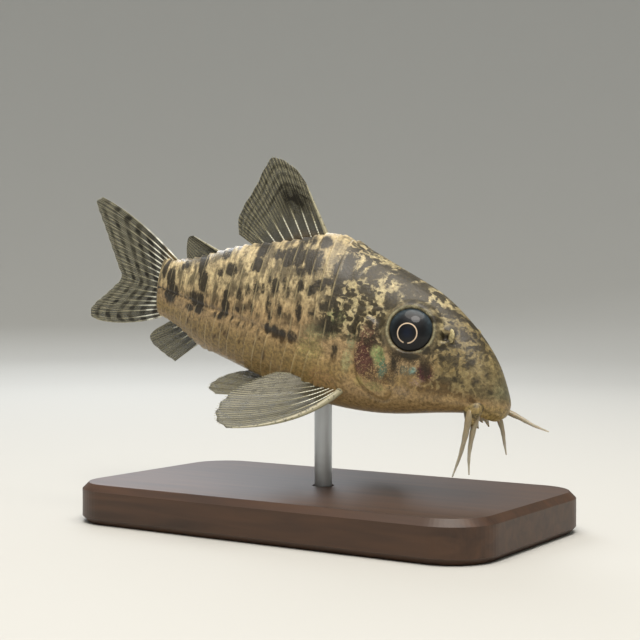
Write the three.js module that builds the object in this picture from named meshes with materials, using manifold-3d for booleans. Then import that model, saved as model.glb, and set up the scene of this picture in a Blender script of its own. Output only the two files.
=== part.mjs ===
// A peppered corydoras catfish, life size, as a still display model on a plain stand.
// Millimetres, +Z up, head towards +X. The origin is the middle of the underside of the stand's base.
// The fish is drawn straight and level first, with its snout at x = 0 and its belly near z = 0,
// and every finished piece is then bent at the tail, pitched nose down and set on the stand's rod.

import * as THREE from 'three';
import { mergeVertices } from 'three/addons/utils/BufferGeometryUtils.js';
import Module from 'manifold-3d';

// Driving sizes of the fish
const standardLength = 55;        // snout to the root of the tail fin
const bodyDepth = 20.6;           // belly to back at the dorsal fin
const bodyWidth = 13.8;           // across the shoulders
const eyeDiameter = 6;            // of the whole ball, most of which is sunk in the head
const pitchDegrees = 9.8;         // nose down
const tailBendStart = 30;         // behind the snout, where the tail begins to swing to the left
const tailBendRadius = 150;
const gap = 0.3;                  // between pieces that touch

// Driving sizes of the armour plates
const plateCount = 22;            // in each of the four rows
const plateRise = 0.34;           // how far the rear edge of a plate stands over the next one
const plateVariation = 0.16;      // share by which one plate's rise differs from another's
const firstPlate = 21.6;          // behind the snout
const bareTailRoot = 0.4;         // bare skin between the last plate and the root of the tail fin
const plateCrowding = 0.12;       // how much closer the last plates stand than the first
const upperSweep = 2.6;           // how far an upper plate leans forward from the ridge to the side line
const lowerSweep = 2;             // how far a lower plate leans back from the side line to the belly
const groove = 0.07;              // half the width of the grooves between the rows, as an angle
const bareBellyAngle = 2.6;       // angle round from the ridge where the lower plates end
const bareBellyEnd = [40, 46];    // behind the snout, where the lower plates close in on the belly

// Driving sizes of the fins
const membrane = 0.5;             // thickness of a fin between its rays
const rayRise = 0.16;             // how far a ray stands out on each face
const spineRise = 0.42;           // the same for the spine that leads the dorsal and pectoral fins
const adiposeSpineRise = 0.28;
const firstRayRise = 0.2;         // the same for the first ray of a fin with no spine

// Driving sizes of the stand
const baseLength = 58;
const baseWidth = 32;
const baseHeight = 5;
const baseCorner = 6;
const rodDiameter = 2.2;
const rodBehindSnout = 25;
const barbelClearance = 3;        // between the base and the lowest barbel
const barbelDrop = 7.8;           // from the belly over the rod down to that barbel's tip
const rodSink = 3;                // extra length at the rod's top, cut off where it meets the belly
const socketDepth = 2.4;

const wasm = await Module();
wasm.setup();

// Smooth curve through [behind the snout, value] points. The distance is read through a square
// root, which lets a curve leave the blunt snout steeply.
const spread = (back) => Math.sqrt(Math.max(back, 0) / standardLength);

function curve(points) {
  const u = points.map(([back]) => spread(back));
  const v = points.map(([, value]) => value);
  const last = u.length - 1;
  const slope = v.map((_, i) => {
    const a = Math.max(i - 1, 0);
    const b = Math.min(i + 1, last);
    return (v[b] - v[a]) / (u[b] - u[a]);
  });
  return (back) => {
    const t = Math.min(Math.max(spread(back), u[0]), u[last]);
    let i = 0;
    while (i < last - 1 && t > u[i + 1]) i += 1;
    const h = u[i + 1] - u[i];
    const s = (t - u[i]) / h;
    const rise = v[i + 1] - v[i];
    const a = slope[i] * h - rise;
    const b = rise - slope[i + 1] * h;
    return v[i] + s * rise + s * (1 - s) * (a * (1 - s) + b * s);
  };
}

// The lines of the body. Heights are shares of the depth, half widths shares of the full width.
const deep = (points) => curve(points.map(([back, z]) => [back, z * bodyDepth]));
const wide = (points) => curve(points.map(([back, y]) => [back, y * bodyWidth]));

const backLine = deep([
  [0, 0.228], [0.7, 0.315], [2.7, 0.482], [6.1, 0.64], [10.8, 0.776], [17, 0.885], [24, 0.992],
  [27, 1.008], [31.8, 0.936], [41, 0.828], [47.4, 0.717], [52.5, 0.652], [55, 0.65],
]);
const bellyLine = deep([
  [0, 0.228], [0.15, 0.18], [0.7, 0.152], [4.2, 0.15], [8, 0.115], [15.4, 0.035], [22, 0.012],
  [28.6, 0.032], [37.9, 0.1], [44.5, 0.153], [50.6, 0.257], [55, 0.292],
]);
const halfWidthLine = wide([
  [0, 0], [0.7, 0.135], [2.7, 0.228], [6.1, 0.3], [10.6, 0.374], [16.9, 0.457], [24, 0.5],
  [32, 0.45], [41, 0.332], [47.2, 0.225], [55, 0.1],
]);
const widestLine = deep([
  [0, 0.228], [2.7, 0.222], [10.6, 0.262], [17, 0.3], [24, 0.36], [32, 0.41], [55, 0.474],
]);
const upperFullness = curve([[0, 2], [3, 1.9], [7, 1.9], [11, 2.25], [17, 2.1], [25, 1.95], [40, 1.9], [55, 2]]);
const lowerFullness = curve([[0, 2], [3, 2.3], [7, 2.8], [25, 2.8], [34, 2.4], [44, 2.1], [55, 2]]);

// A point of the smooth body: how far behind the snout, and the angle round from the ridge of the
// back (0) over the fish's right side line (a quarter turn) to the belly (half a turn).
// grow moves it outwards along the section's own normal.
function bodyPoint(back, angle, grow = 0) {
  const side = angle <= Math.PI ? -1 : 1;
  const a = angle <= Math.PI ? angle : 2 * Math.PI - angle;
  const upper = a <= Math.PI / 2;
  const power = 2 / (upper ? upperFullness(back) : lowerFullness(back));
  const half = halfWidthLine(back);
  const middle = widestLine(back);
  const reach = upper ? backLine(back) - middle : middle - bellyLine(back);
  const s = Math.abs(Math.sin(a));
  const c = Math.abs(Math.cos(a));
  const y = half * s ** power;
  const z = reach * c ** power;
  let ny = (s ** (2 - power)) / Math.max(half, 0.05);
  let nz = (c ** (2 - power)) / Math.max(reach, 0.05);
  const length = Math.hypot(ny, nz) || 1;
  ny /= length;
  nz /= length;
  return new THREE.Vector3(
    -back,
    side * (y + grow * ny),
    middle + (upper ? 1 : -1) * (z + grow * nz),
  );
}

// Height of the underside of the head at a place behind the snout and a distance off the middle
function undersideHeight(back, off) {
  const m = lowerFullness(back);
  const share = Math.min(Math.abs(off) / halfWidthLine(back), 1);
  const middle = widestLine(back);
  return middle - (middle - bellyLine(back)) * (1 - share ** m) ** (1 / m);
}

// Half width of the body at a height
function halfWidthAt(back, z) {
  const middle = widestLine(back);
  const upper = z > middle;
  const reach = upper ? backLine(back) - middle : middle - bellyLine(back);
  const n = upper ? upperFullness(back) : lowerFullness(back);
  const share = Math.min(Math.abs(z - middle) / reach, 1);
  return halfWidthLine(back) * (1 - share ** n) ** (1 / n);
}

// A closed mesh of rows of points: each row is a ring of the same number of points.
function closedRings(rings, startPole, endPole) {
  const count = rings[0].length;
  const points = [startPole, ...rings.flat(), endPole];
  const at = (r, k) => 1 + r * count + (k % count);
  const end = points.length - 1;
  const faces = [];
  for (let k = 0; k < count; k += 1) {
    faces.push(0, at(0, k + 1), at(0, k));
    faces.push(end, at(rings.length - 1, k), at(rings.length - 1, k + 1));
    for (let r = 0; r + 1 < rings.length; r += 1) {
      faces.push(at(r, k), at(r, k + 1), at(r + 1, k + 1));
      faces.push(at(r, k), at(r + 1, k + 1), at(r + 1, k));
    }
  }
  return meshOf(points, faces);
}

function meshOf(points, faces) {
  const geometry = new THREE.BufferGeometry();
  geometry.setAttribute('position', new THREE.Float32BufferAttribute(points.flatMap((p) => [p.x, p.y, p.z]), 3));
  geometry.setIndex(faces);
  return geometry;
}

// A manifold-3d solid of a geometry, turned right way out if its faces point inwards
function solidOf(geometry) {
  const bare = geometry.clone();
  bare.deleteAttribute('normal');
  bare.deleteAttribute('uv');
  const merged = mergeVertices(bare, 1e-4);
  const make = (triVerts) => new wasm.Manifold(new wasm.Mesh({
    numProp: 3,
    vertProperties: new Float32Array(merged.attributes.position.array),
    triVerts,
  }));
  const faces = new Uint32Array(merged.index.array);
  const made = make(faces);
  if (made.volume() > 0) return made;
  return make(faces.map((_, i) => faces[i - (i % 3) + [0, 2, 1][i % 3]]));
}

// The largest closed surface of a solid
function largest(solid) {
  const bodies = solid.decompose();
  return bodies.reduce((a, b) => (b.volume() > a.volume() ? b : a));
}

// Armour plates: the row of a plate's rear edges along the body, closer together towards the tail
const plateEdge = (i) => {
  const share = i / plateCount;
  const crowded = share * (1 + plateCrowding - plateCrowding * share);
  return firstPlate - upperSweep / 2 + (standardLength - firstPlate - bareTailRoot) * crowded;
};

// How far a plate's edge is swept back at an angle round the body. The edges make an arrowhead
// that points forwards, with its point on the side line.
function sweepBack(a) {
  const half = Math.PI / 2;
  if (a < half) return upperSweep * (1 - Math.sin(a));
  return lowerSweep * Math.sin(a - half);
}

// Angles of the columns of the body's mesh down one side: ridge, upper plates, side line, lower
// plates and bare belly
const sideAngles = [
  0, groove, 0.36, 0.7, 1.05, Math.PI / 2 - groove, Math.PI / 2, Math.PI / 2 + groove,
  1.95, 2.28, 2.6, 2.87, Math.PI,
];
const allAngles = [...sideAngles, ...sideAngles.slice(1, -1).reverse().map((a) => 2 * Math.PI - a)];

// Share of the full rise that a plate has at an angle: none in the grooves along the ridge and the
// side line, and next to none on the bare belly in front of the anal fin
const bellyRise = 0.15;
const bareBellyTurn = 0.54;       // how much further round the plates reach behind the anal fin

function plateShare(a, back) {
  const half = Math.PI / 2;
  if (a < groove / 2 || Math.abs(a - half) < groove / 2) return 0;
  const [from, to] = bareBellyEnd;
  const closed = Math.min(Math.max((back - from) / (to - from), 0), 1);
  return a < bareBellyAngle + closed * bareBellyTurn ? 1 : bellyRise;
}

// The whole body as rings of points from the snout to the root of the tail fin. The head's rings
// begin to lean behind the eye, and the first few plates lean less than the rest.
const headBacks = [
  0.04, 0.15, 0.4, 0.8, 1.35, 2, 2.8, 3.7, 4.7, 5.8, 7, 8.3, 9.7, 11.1, 12.5, 14, 15.5, 17, 18.6, 20.2,
];
const leanStart = 12;             // behind the snout
const headLean = 0.06;            // share of the full lean gained with each millimetre from there
const firstPlateLean = 0.55;
const leaningPlates = 3;          // plates over which the lean grows to the full one
const edgeStep = 0.05;            // half the length of the step from one plate down to the next
const plateFoot = 0.03;           // rise of the front end of a plate

function bodyRings(grow, rise) {
  const rings = [];
  const ring = (back, lean, lift) => allAngles.map((angle) => {
    const a = angle <= Math.PI ? angle : 2 * Math.PI - angle;
    const here = Math.min(back + lean * sweepBack(a), standardLength);
    return bodyPoint(here, angle, grow + lift * plateShare(a, here));
  });
  const leanOf = (plate) => firstPlateLean + (1 - firstPlateLean) * Math.min(1, plate / leaningPlates);
  for (const back of headBacks) rings.push(ring(back, Math.max(0, (back - leanStart) * headLean), 0));
  for (let i = 0; i < plateCount; i += 1) {
    const own = rise * (1 - plateVariation / 2 + plateVariation * Math.abs(Math.sin(i * 2.4)));
    rings.push(ring(plateEdge(i) + edgeStep, leanOf(i), plateFoot));
    rings.push(ring(plateEdge(i + 1) - edgeStep, leanOf(i + 1), own));
  }
  return rings;
}

function bodySolid(grow = 0, rise = plateRise) {
  const rings = bodyRings(grow, rise);
  const nose = new THREE.Vector3(grow, 0, widestLine(0));
  const lastBack = standardLength + 0.2 + grow;
  const root = new THREE.Vector3(-lastBack, 0, widestLine(standardLength));
  return solidOf(closedRings(rings, nose, root));
}

const body = bodySolid();
const bodyGrown = bodySolid(gap);

// A slab of space between two distances behind the snout, wider and higher than the fish
const room = 80;

function slab(fromBack, toBack) {
  const box = new THREE.BoxGeometry(toBack - fromBack, room, room);
  box.translate(-(fromBack + toBack) / 2, 0, 0);
  return solidOf(box);
}

const headEnd = 20.4;
const trunkEnd = 43.2;
const headRaw = body.intersect(slab(-room, headEnd - gap / 2));
const trunkRaw = body.intersect(slab(headEnd + gap / 2, trunkEnd - gap / 2));
const tailRaw = body.intersect(slab(trunkEnd + gap / 2, room));

// Eyes: flattened balls that look a little forwards and up, sunk in the head so that a round
// window of them shows
const eyeBack = 11.9;
const eyeHeight = 11.4;
const eyeHalfDepth = 2;
const eyeProud = 0.9;             // how far the eye stands out of the head
const eyeForward = THREE.MathUtils.degToRad(18);
const eyeUp = THREE.MathUtils.degToRad(15);

function eyeGeometry(side, extra) {
  const r = eyeDiameter / 2 + extra;
  const ball = new THREE.SphereGeometry(1, 20, 10);
  ball.rotateX(Math.PI / 2);
  ball.scale(r, eyeHalfDepth + extra, r);
  ball.rotateX(side * eyeUp);
  ball.rotateZ(-side * eyeForward);
  const off = halfWidthAt(eyeBack, eyeHeight) + eyeProud - eyeHalfDepth;
  ball.translate(-eyeBack, side * off, eyeHeight);
  return ball;
}

// A ring of round section whose middle line runs through the points
function ringAlong(points, radius, sides) {
  const count = points.length;
  const middle = points.reduce((sum, p) => sum.add(p), new THREE.Vector3()).divideScalar(count);
  const around = points.map((p, i) => {
    const tangent = points[(i + 1) % count].clone().sub(points[(i + count - 1) % count]).normalize();
    const out = p.clone().sub(middle);
    out.addScaledVector(tangent, -out.dot(tangent)).normalize();
    const across = new THREE.Vector3().crossVectors(tangent, out);
    return Array.from({ length: sides }, (_, k) => {
      const turn = (k / sides) * 2 * Math.PI;
      return p.clone()
        .addScaledVector(out, Math.cos(turn) * radius)
        .addScaledVector(across, Math.sin(turn) * radius);
    });
  });
  const faces = [];
  const at = (i, k) => (i % count) * sides + (k % sides);
  for (let i = 0; i < count; i += 1) {
    for (let k = 0; k < sides; k += 1) {
      faces.push(at(i, k), at(i + 1, k), at(i + 1, k + 1), at(i, k), at(i + 1, k + 1), at(i, k + 1));
    }
  }
  return solidOf(meshOf(around.flat(), faces));
}

// Raised rim of skin round each eye, lying on the side of the head
const rimRadius = 0.34;
const rimAcross = 6.1;
const rimPoints = 20;

function eyeRim(side) {
  const points = Array.from({ length: rimPoints }, (_, i) => {
    const turn = (i / rimPoints) * 2 * Math.PI;
    const back = eyeBack + (rimAcross / 2) * Math.cos(turn);
    const z = eyeHeight + (rimAcross / 2) * Math.sin(turn);
    return new THREE.Vector3(-back, side * halfWidthAt(back, z), z);
  });
  return ringAlong(points, rimRadius, 6);
}

// Nostrils: on each side an open pit with a flap of skin standing in front of it
const nostrilBack = 7.1;
const nostrilHeight = 11.5;
const flapProud = 0.3;
const flapHalf = [0.27, 1, 0.8];  // half its thickness, its reach off the head and its height
const flapTurn = 0.5;             // how far its free edge is turned down
const flapLift = 0.25;            // its middle over the pit's
const pitRadius = 0.6;
const pitBehindFlap = 0.2;

function nostrilPit(side) {
  const pit = new THREE.SphereGeometry(pitRadius, 8, 6);
  const back = nostrilBack + pitRadius + pitBehindFlap;
  pit.translate(-back, side * halfWidthAt(back, nostrilHeight), nostrilHeight);
  return solidOf(pit);
}

function nostrilFlap(side) {
  const flap = new THREE.SphereGeometry(1, 10, 6);
  flap.scale(...flapHalf);
  flap.rotateX(side * flapTurn);
  flap.translate(
    -nostrilBack,
    side * (halfWidthAt(nostrilBack, nostrilHeight) + flapProud),
    nostrilHeight + flapLift,
  );
  return solidOf(flap);
}

// Mouth: an arched slit under the snout, with a roll of lip before it and another behind it
const mouthBack = 3.6;
const mouthReach = 2.3;           // how far the upper lip arches forward
const mouthHalfWidth = 2.9;
const mouthNarrowing = 0.45;      // how much narrower an arch is for each millimetre further back
const slitBehindLip = 0.95;       // the slit behind the upper lip
const lipBehindLip = 1.7;         // the lower lip behind the upper one
const lipSink = 0.1;              // how far the lips and the slit stand off the head's underside

function lipPoints(reach, halfWidth, drop) {
  const points = [];
  for (let i = 0; i <= 10; i += 1) {
    const turn = (i / 10 - 0.5) * Math.PI;
    const back = mouthBack - reach * Math.cos(turn);
    const off = halfWidth * Math.sin(turn);
    points.push(new THREE.Vector3(-back, off, undersideHeight(back, off) - drop));
  }
  return points;
}

// A tapering tube of round section along a smooth path through the points
function taperedTube(points, radii, sides, steps) {
  const path = new THREE.CatmullRomCurve3(points);
  const frames = path.computeFrenetFrames(steps, false);
  const rings = [];
  for (let i = 0; i <= steps; i += 1) {
    const t = i / steps;
    const place = path.getPointAt(t);
    const k = Math.min(t * (radii.length - 1), radii.length - 1.0001);
    const j = Math.floor(k);
    const r = radii[j] + (radii[j + 1] - radii[j]) * (k - j);
    rings.push(Array.from({ length: sides }, (_, n) => {
      const turn = (n / sides) * 2 * Math.PI;
      return place.clone()
        .addScaledVector(frames.normals[i], Math.cos(turn) * r)
        .addScaledVector(frames.binormals[i], Math.sin(turn) * r);
    }));
  }
  const head = path.getPointAt(0);
  const tip = path.getPointAt(1);
  return solidOf(closedRings(rings, head, tip));
}

// A roll that lies along one of the mouth's arches
function lipRoll(back, drop, radii) {
  const points = lipPoints(mouthReach - back, mouthHalfWidth - mouthNarrowing * back, drop);
  return taperedTube(points, radii, 6, 12);
}

const lipRadii = [0.45, 0.55, 0.55, 0.45];
const lowerLipRadii = [0.35, 0.42, 0.42, 0.35];
const thicker = (radii) => radii.map((r) => r + gap);
const upperLip = lipRoll(0, -lipSink, lipRadii);
const mouthSlit = lipRoll(slitBehindLip, lipSink, [0.3, 0.4, 0.4, 0.3]);
const lowerLipRoll = lipRoll(lipBehindLip, lipSink, lowerLipRadii);

// Two pairs of short flaps on the lower lip, which hang down and a little forwards and outwards
const flapRadii = [0.42, 0.34, 0.12];
const flapForward = 0.35;
const flapSpread = 1.15;
const lipFlaps = [[-1.2, 0.9], [1.2, 0.9], [-0.4, 0.45], [0.4, 0.45]];   // off the middle, length

function lipFlap(off, length) {
  const back = mouthBack + lipBehindLip - mouthReach;
  const z = undersideHeight(back, off);
  const root = new THREE.Vector3(-back, off, z + 0.1);
  const tip = new THREE.Vector3(-back + flapForward, off * flapSpread, z - length);
  const bend = root.clone().lerp(tip, 0.55).add(new THREE.Vector3(-0.1, 0, 0));
  return taperedTube([root, bend, tip], flapRadii, 6, 3);
}

// Gill covers: a curved plate on each cheek, cut out of the head and raised a little over it
const gillOutline = [
  [15.7, 11.6], [17, 12.4], [18, 11.3], [18, 9.3], [17.5, 6.7], [16.6, 4.7], [15, 3.5], [13.4, 3.1],
  [12.9, 4.1], [14.2, 6.4], [15.1, 8.6], [15.4, 10.3],
];
const gillCoverThickness = 1.1;
const gillCoverRise = 0.22;
const gillMiddle = [16.2, 8];

function gillPrism(extra) {
  const middle = new THREE.Vector2(...gillMiddle);
  const outline = gillOutline.map(([back, z]) => {
    const out = new THREE.Vector2(back, z).sub(middle);
    out.setLength(out.length() + extra).add(middle);
    return new THREE.Vector2(-out.x, out.y);
  });
  const rounded = new THREE.SplineCurve([...outline, outline[0]]).getPoints(44).slice(0, -1);
  const prism = new THREE.ExtrudeGeometry(new THREE.Shape(rounded), { depth: room, bevelEnabled: false });
  prism.rotateX(Math.PI / 2);
  prism.translate(0, room / 2, 0);
  return solidOf(prism);
}

const oneSide = (side) => {
  const box = new THREE.BoxGeometry(room, room, room);
  box.translate(0, side * room * 0.5001, 0);
  return solidOf(box);
};

const gillOuter = bodySolid(gillCoverRise, 0).intersect(gillPrism(0)).subtract(bodySolid(-gillCoverThickness, 0));
const gillRecess = gillPrism(gap).subtract(bodySolid(-gillCoverThickness - gap, 0));

// Fins: a fan of rays joined by a membrane, whose rays are ridges on both faces.
// rays lists each ray's root, tip and bow in the fin's own plane, and place turns a point of that
// plane, with its distance off the plane, into a point of the fish.
function finSolid({ rays, place, rows = 6, spine = 0, ridge = rayRise, notch = 0.035, camber = 0 }) {
  const columns = [];
  rays.forEach(([root, tip, bow], i) => {
    if (i > 0) {
      const [lastRoot, lastTip, lastBow] = rays[i - 1];
      for (const share of [0.22, 0.78]) {
        columns.push({
          root: lastRoot.clone().lerp(root, share),
          tip: lastTip.clone().lerp(tip, share),
          bow: lastBow.clone().lerp(bow, share),
          rise: 0,
          reach: 1 - notch,
        });
      }
    }
    columns.push({ root, tip, bow, rise: i === 0 && spine ? spine : ridge, reach: 1 });
  });
  const count = columns.length;
  const points = [];
  for (const face of [1, -1]) {
    columns.forEach(({ root, tip, bow, rise, reach }, i) => {
      for (let j = 0; j <= rows; j += 1) {
        const t = (j / rows) * reach;
        const p = root.clone().lerp(tip, t).addScaledVector(bow, 4 * t * (1 - t));
        const arc = camber * Math.sin(Math.PI * Math.min(1, t)) * Math.sin((Math.PI * i) / (count - 1));
        const taper = 1 - 0.55 * t ** 3;
        const thick = (membrane / 2 + rise * (1 - 0.75 * t)) * taper;
        points.push(place(p, arc + face * thick));
      }
    });
  }
  const at = (face, i, j) => (face * count + i) * (rows + 1) + j;
  const faces = [];
  const quad = (a, b, c, d) => faces.push(a, b, c, a, c, d);
  for (let i = 0; i + 1 < count; i += 1) {
    for (let j = 0; j < rows; j += 1) {
      faces.push(at(0, i, j), at(0, i + 1, j), at(0, i + 1, j + 1));
      faces.push(at(0, i, j), at(0, i + 1, j + 1), at(0, i, j + 1));
      faces.push(at(1, i, j), at(1, i + 1, j + 1), at(1, i + 1, j));
      faces.push(at(1, i, j), at(1, i, j + 1), at(1, i + 1, j + 1));
    }
    quad(at(0, i, 0), at(1, i, 0), at(1, i + 1, 0), at(0, i + 1, 0));
    quad(at(0, i, rows), at(0, i + 1, rows), at(1, i + 1, rows), at(1, i, rows));
  }
  for (let j = 0; j < rows; j += 1) {
    quad(at(0, 0, j), at(0, 0, j + 1), at(1, 0, j + 1), at(1, 0, j));
    const e = count - 1;
    quad(at(0, e, j), at(1, e, j), at(1, e, j + 1), at(0, e, j + 1));
  }
  return solidOf(meshOf(points, faces));
}

// A fan of rays whose roots run along one line and whose tips run along a smooth edge. bow gives
// how far each ray is bowed upwards, from its share of the way through the fan.
function fan(count, rootStart, rootEnd, edge, bow = () => 0) {
  const tips = new THREE.SplineCurve(edge.map(([back, z]) => new THREE.Vector2(back, z)));
  const start = new THREE.Vector2(...rootStart);
  const end = new THREE.Vector2(...rootEnd);
  return Array.from({ length: count }, (_, i) => {
    const share = i / (count - 1);
    return [start.clone().lerp(end, share), tips.getPointAt(share), new THREE.Vector2(0, bow(share))];
  });
}

// The plane down the middle of the fish
const onMidline = (p, off) => new THREE.Vector3(-p.x, off, p.y);

const dorsalFin = finSolid({
  rays: fan(9, [26.9, 19.2], [36.4, 16.6], [
    [32.2, 26.6], [34.2, 28.2], [37.4, 29.2], [38.7, 28.2], [40.1, 25], [41.6, 22.4], [42.2, 20.4], [41.7, 18.6],
  ]),
  place: onMidline,
  spine: spineRise,
});

const adiposeFin = finSolid({
  rays: fan(4, [42.6, 15.4], [50.2, 12.6], [[49.9, 17.3], [50.8, 16.9], [50.9, 15.6], [50.6, 14.3]]),
  place: onMidline,
  rows: 4,
  spine: adiposeSpineRise,
  ridge: 0,
  notch: 0,
});

// The tail fin's outer rays bow outwards, and those of the fork are straight
const caudalBow = (share) => (share < 0.5 ? 1 : -0.8) * Math.abs(1 - 2 * share) ** 1.5;

const caudalFin = finSolid({
  rays: fan(17, [51.4, 13.1], [52, 6.4], [
    [71.2, 20], [72.7, 19.2], [71.4, 17.6], [69.4, 15.6], [67.2, 13.2], [65.2, 11], [64, 9.4],
    [65.6, 7.8], [67.8, 6.1], [69.8, 4.7], [70.7, 3.5], [70.3, 2.7], [68.4, 2.5],
  ], caudalBow),
  place: onMidline,
  rows: 6,
  spine: firstRayRise,
});

const analFin = finSolid({
  rays: fan(7, [44.9, 4.4], [49.9, 6.6], [
    [50.2, 0.1], [51.6, 0.4], [53.6, 1], [55.4, 1.7], [55.9, 2.6], [54.9, 3.6], [53.6, 4.4],
  ]),
  place: onMidline,
  rows: 5,
  spine: firstRayRise,
});

// A fan of rays that leave one short root line and turn evenly from the first direction to the
// last, for the paired fins. Directions and lengths are given in the fin's own plane.
function swungFan({ count, rootWidth, swing, lengths, bow }) {
  const long = curveOf(lengths);
  return Array.from({ length: count }, (_, i) => {
    const share = i / (count - 1);
    const turn = share * swing;
    const root = new THREE.Vector2(-1.2, -rootWidth * share);
    const tip = new THREE.Vector2(Math.cos(turn), -Math.sin(turn)).multiplyScalar(long(share))
      .add(new THREE.Vector2(0, -rootWidth * share));
    return [root, tip, new THREE.Vector2(0, bow * (1 - share) ** 1.5)];
  });
}

function curveOf(values) {
  const path = new THREE.SplineCurve(values.map((v, i) => new THREE.Vector2(i / (values.length - 1), v)));
  return (share) => path.getPoint(share).y;
}

// A plane set by where the fin is rooted, which way its spine runs, and which way its last ray
// runs. Both are for the right side, and side mirrors them.
function finPlane(root, spineWay, lastWay, side) {
  const mirror = (v) => new THREE.Vector3(v.x, v.y * -side, v.z);
  const origin = mirror(root);
  const u = mirror(spineWay).normalize();
  const last = mirror(lastWay).normalize();
  const v = last.clone().addScaledVector(u, -last.dot(u)).normalize().negate();
  const n = new THREE.Vector3().crossVectors(u, v);
  return (p, off) => origin.clone().addScaledVector(u, p.x).addScaledVector(v, p.y).addScaledVector(n, off);
}

const spineWay = new THREE.Vector3(-7.4, -11, -5.6);
const pectoralLastWay = new THREE.Vector3(-0.94, -0.28, -0.02);
const pectoralSwing = spineWay.angleTo(pectoralLastWay);

const pectoralFin = (side) => finSolid({
  rays: swungFan({
    count: 9,
    rootWidth: 1.7,
    swing: pectoralSwing,
    lengths: [14.3, 14.9, 14.4, 13.2, 11.6, 9.8, 8.2, 6.8],
    bow: 2.2,
  }),
  place: finPlane(new THREE.Vector3(-19.6, -5.9, 3.1), spineWay, pectoralLastWay, side),
  rows: 6,
  spine: spineRise,
  camber: side * 0.5,
});

const pelvicWay = new THREE.Vector3(-7.4, -5.4, -1.9);
const pelvicLastWay = new THREE.Vector3(-0.97, -0.06, 0.06);
const pelvicSwing = pelvicWay.angleTo(pelvicLastWay);

const pelvicFin = (side) => finSolid({
  rays: swungFan({
    count: 7,
    rootWidth: 1.3,
    swing: pelvicSwing,
    lengths: [9.4, 10.4, 10, 9.1, 7.9, 6.4],
    bow: 0.6,
  }),
  place: finPlane(new THREE.Vector3(-27.6, -3.1, 1.2), pelvicWay, pelvicLastWay, side),
  rows: 5,
  spine: firstRayRise,
  camber: side * 0.3,
});

// Barbels: two at each corner of the mouth, thick and fleshy at the root. The left outer one is
// held out forwards.
const corner = new THREE.Vector3(-3.5, 3.05, 4);
const barbelRadii = [0.62, 0.5, 0.38, 0.28, 0.14];

function barbel(side, offsets) {
  const points = offsets.map(([x, y, z]) => new THREE.Vector3(corner.x + x, side * (corner.y + y), corner.z + z));
  return taperedTube(points, barbelRadii, 8, 9);
}

const barbels = {
  outer_barbel_right: barbel(-1, [[-0.2, -0.4, 0.4], [0.1, 0.6, -0.9], [0.2, 0.8, -3.2], [0, 0.9, -5.4], [-0.5, 1, -8]]),
  inner_barbel_right: barbel(-1, [[0.9, -0.6, 0.2], [1, -0.1, -1.3], [1, 0.1, -3.4], [1.1, 0.2, -5.4], [1.5, 0.3, -7.4]]),
  outer_barbel_left: barbel(1, [[0.2, -0.4, 0.2], [1.4, 0.7, -0.4], [3.2, 1.1, -0.9], [4.9, 1.3, -1.4], [6.9, 1.6, -1.8]]),
  inner_barbel_left: barbel(1, [[0.9, -0.6, 0.2], [1.2, -0.2, -1.2], [1.8, 0, -2.6], [2.3, 0, -4], [2.7, 0.2, -5.4]]),
};

// Whole pieces of the fish, still straight and level
const sockets = [-1, 1].map((side) => solidOf(eyeGeometry(side, gap)));
const flaps = [-1, 1].map(nostrilFlap);
const lowerLip = lipFlaps
  .reduce((lip, [off, length]) => lip.add(lipFlap(off, length)), lowerLipRoll);
const lipRoom = lipRoll(lipBehindLip, lipSink, thicker(lowerLipRadii));
const roundBarbels = bodyGrown.add(lipRoll(0, -lipSink, thicker(lipRadii))).add(lipRoom);
const barbelSet = Object.fromEntries(Object.entries(barbels).map(([name, solid]) => [name, solid.subtract(roundBarbels)]));

const head = [-1, 1].reduce((solid, side) => solid.add(eyeRim(side)), headRaw.add(upperLip).add(flaps[0]).add(flaps[1]))
  .subtract(sockets[0]).subtract(sockets[1])
  .subtract(gillRecess.intersect(slab(0, headEnd)))
  .subtract(nostrilPit(-1)).subtract(nostrilPit(1))
  .subtract(mouthSlit).subtract(lipRoom);

const fish = {
  head,
  eye_right: solidOf(eyeGeometry(-1, 0)),
  eye_left: solidOf(eyeGeometry(1, 0)),
  gill_cover_right: gillOuter.intersect(oneSide(-1)),
  gill_cover_left: gillOuter.intersect(oneSide(1)),
  lower_lip: lowerLip,
  trunk: trunkRaw,
  tail: tailRaw,
  dorsal_fin: dorsalFin.subtract(bodyGrown),
  adipose_fin: adiposeFin.subtract(bodyGrown),
  caudal_fin: caudalFin.subtract(bodyGrown),
  anal_fin: analFin.subtract(bodyGrown),
  pectoral_fin_right: pectoralFin(-1).subtract(bodyGrown),
  pectoral_fin_left: pectoralFin(1).subtract(bodyGrown),
  pelvic_fin_right: pelvicFin(-1).subtract(bodyGrown),
  pelvic_fin_left: pelvicFin(1).subtract(bodyGrown),
  ...barbelSet,
};

// Bending, pitching and setting down: the point of the belly over the rod goes to the rod's top
const pitch = THREE.MathUtils.degToRad(pitchDegrees);
const pivot = new THREE.Vector3(-rodBehindSnout, 0, bellyLine(rodBehindSnout));
const rodTop = baseHeight + barbelClearance + barbelDrop;

function posed(p) {
  const along = Math.max(0, -p.x - tailBendStart);
  const turn = along / tailBendRadius;
  const bent = along > 0
    ? new THREE.Vector3(
      -tailBendStart - (tailBendRadius - p.y) * Math.sin(turn),
      tailBendRadius - (tailBendRadius - p.y) * Math.cos(turn),
      p.z,
    )
    : p.clone();
  return bent.sub(pivot).applyAxisAngle(new THREE.Vector3(0, 1, 0), pitch).add(new THREE.Vector3(0, 0, rodTop));
}

function geometryOf(solid, place) {
  const { vertProperties, triVerts, numProp } = solid.getMesh();
  const points = [];
  for (let i = 0; i < vertProperties.length; i += numProp) {
    points.push(place(new THREE.Vector3(vertProperties[i], vertProperties[i + 1], vertProperties[i + 2])));
  }
  return meshOf(points, Array.from(triVerts));
}

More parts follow.
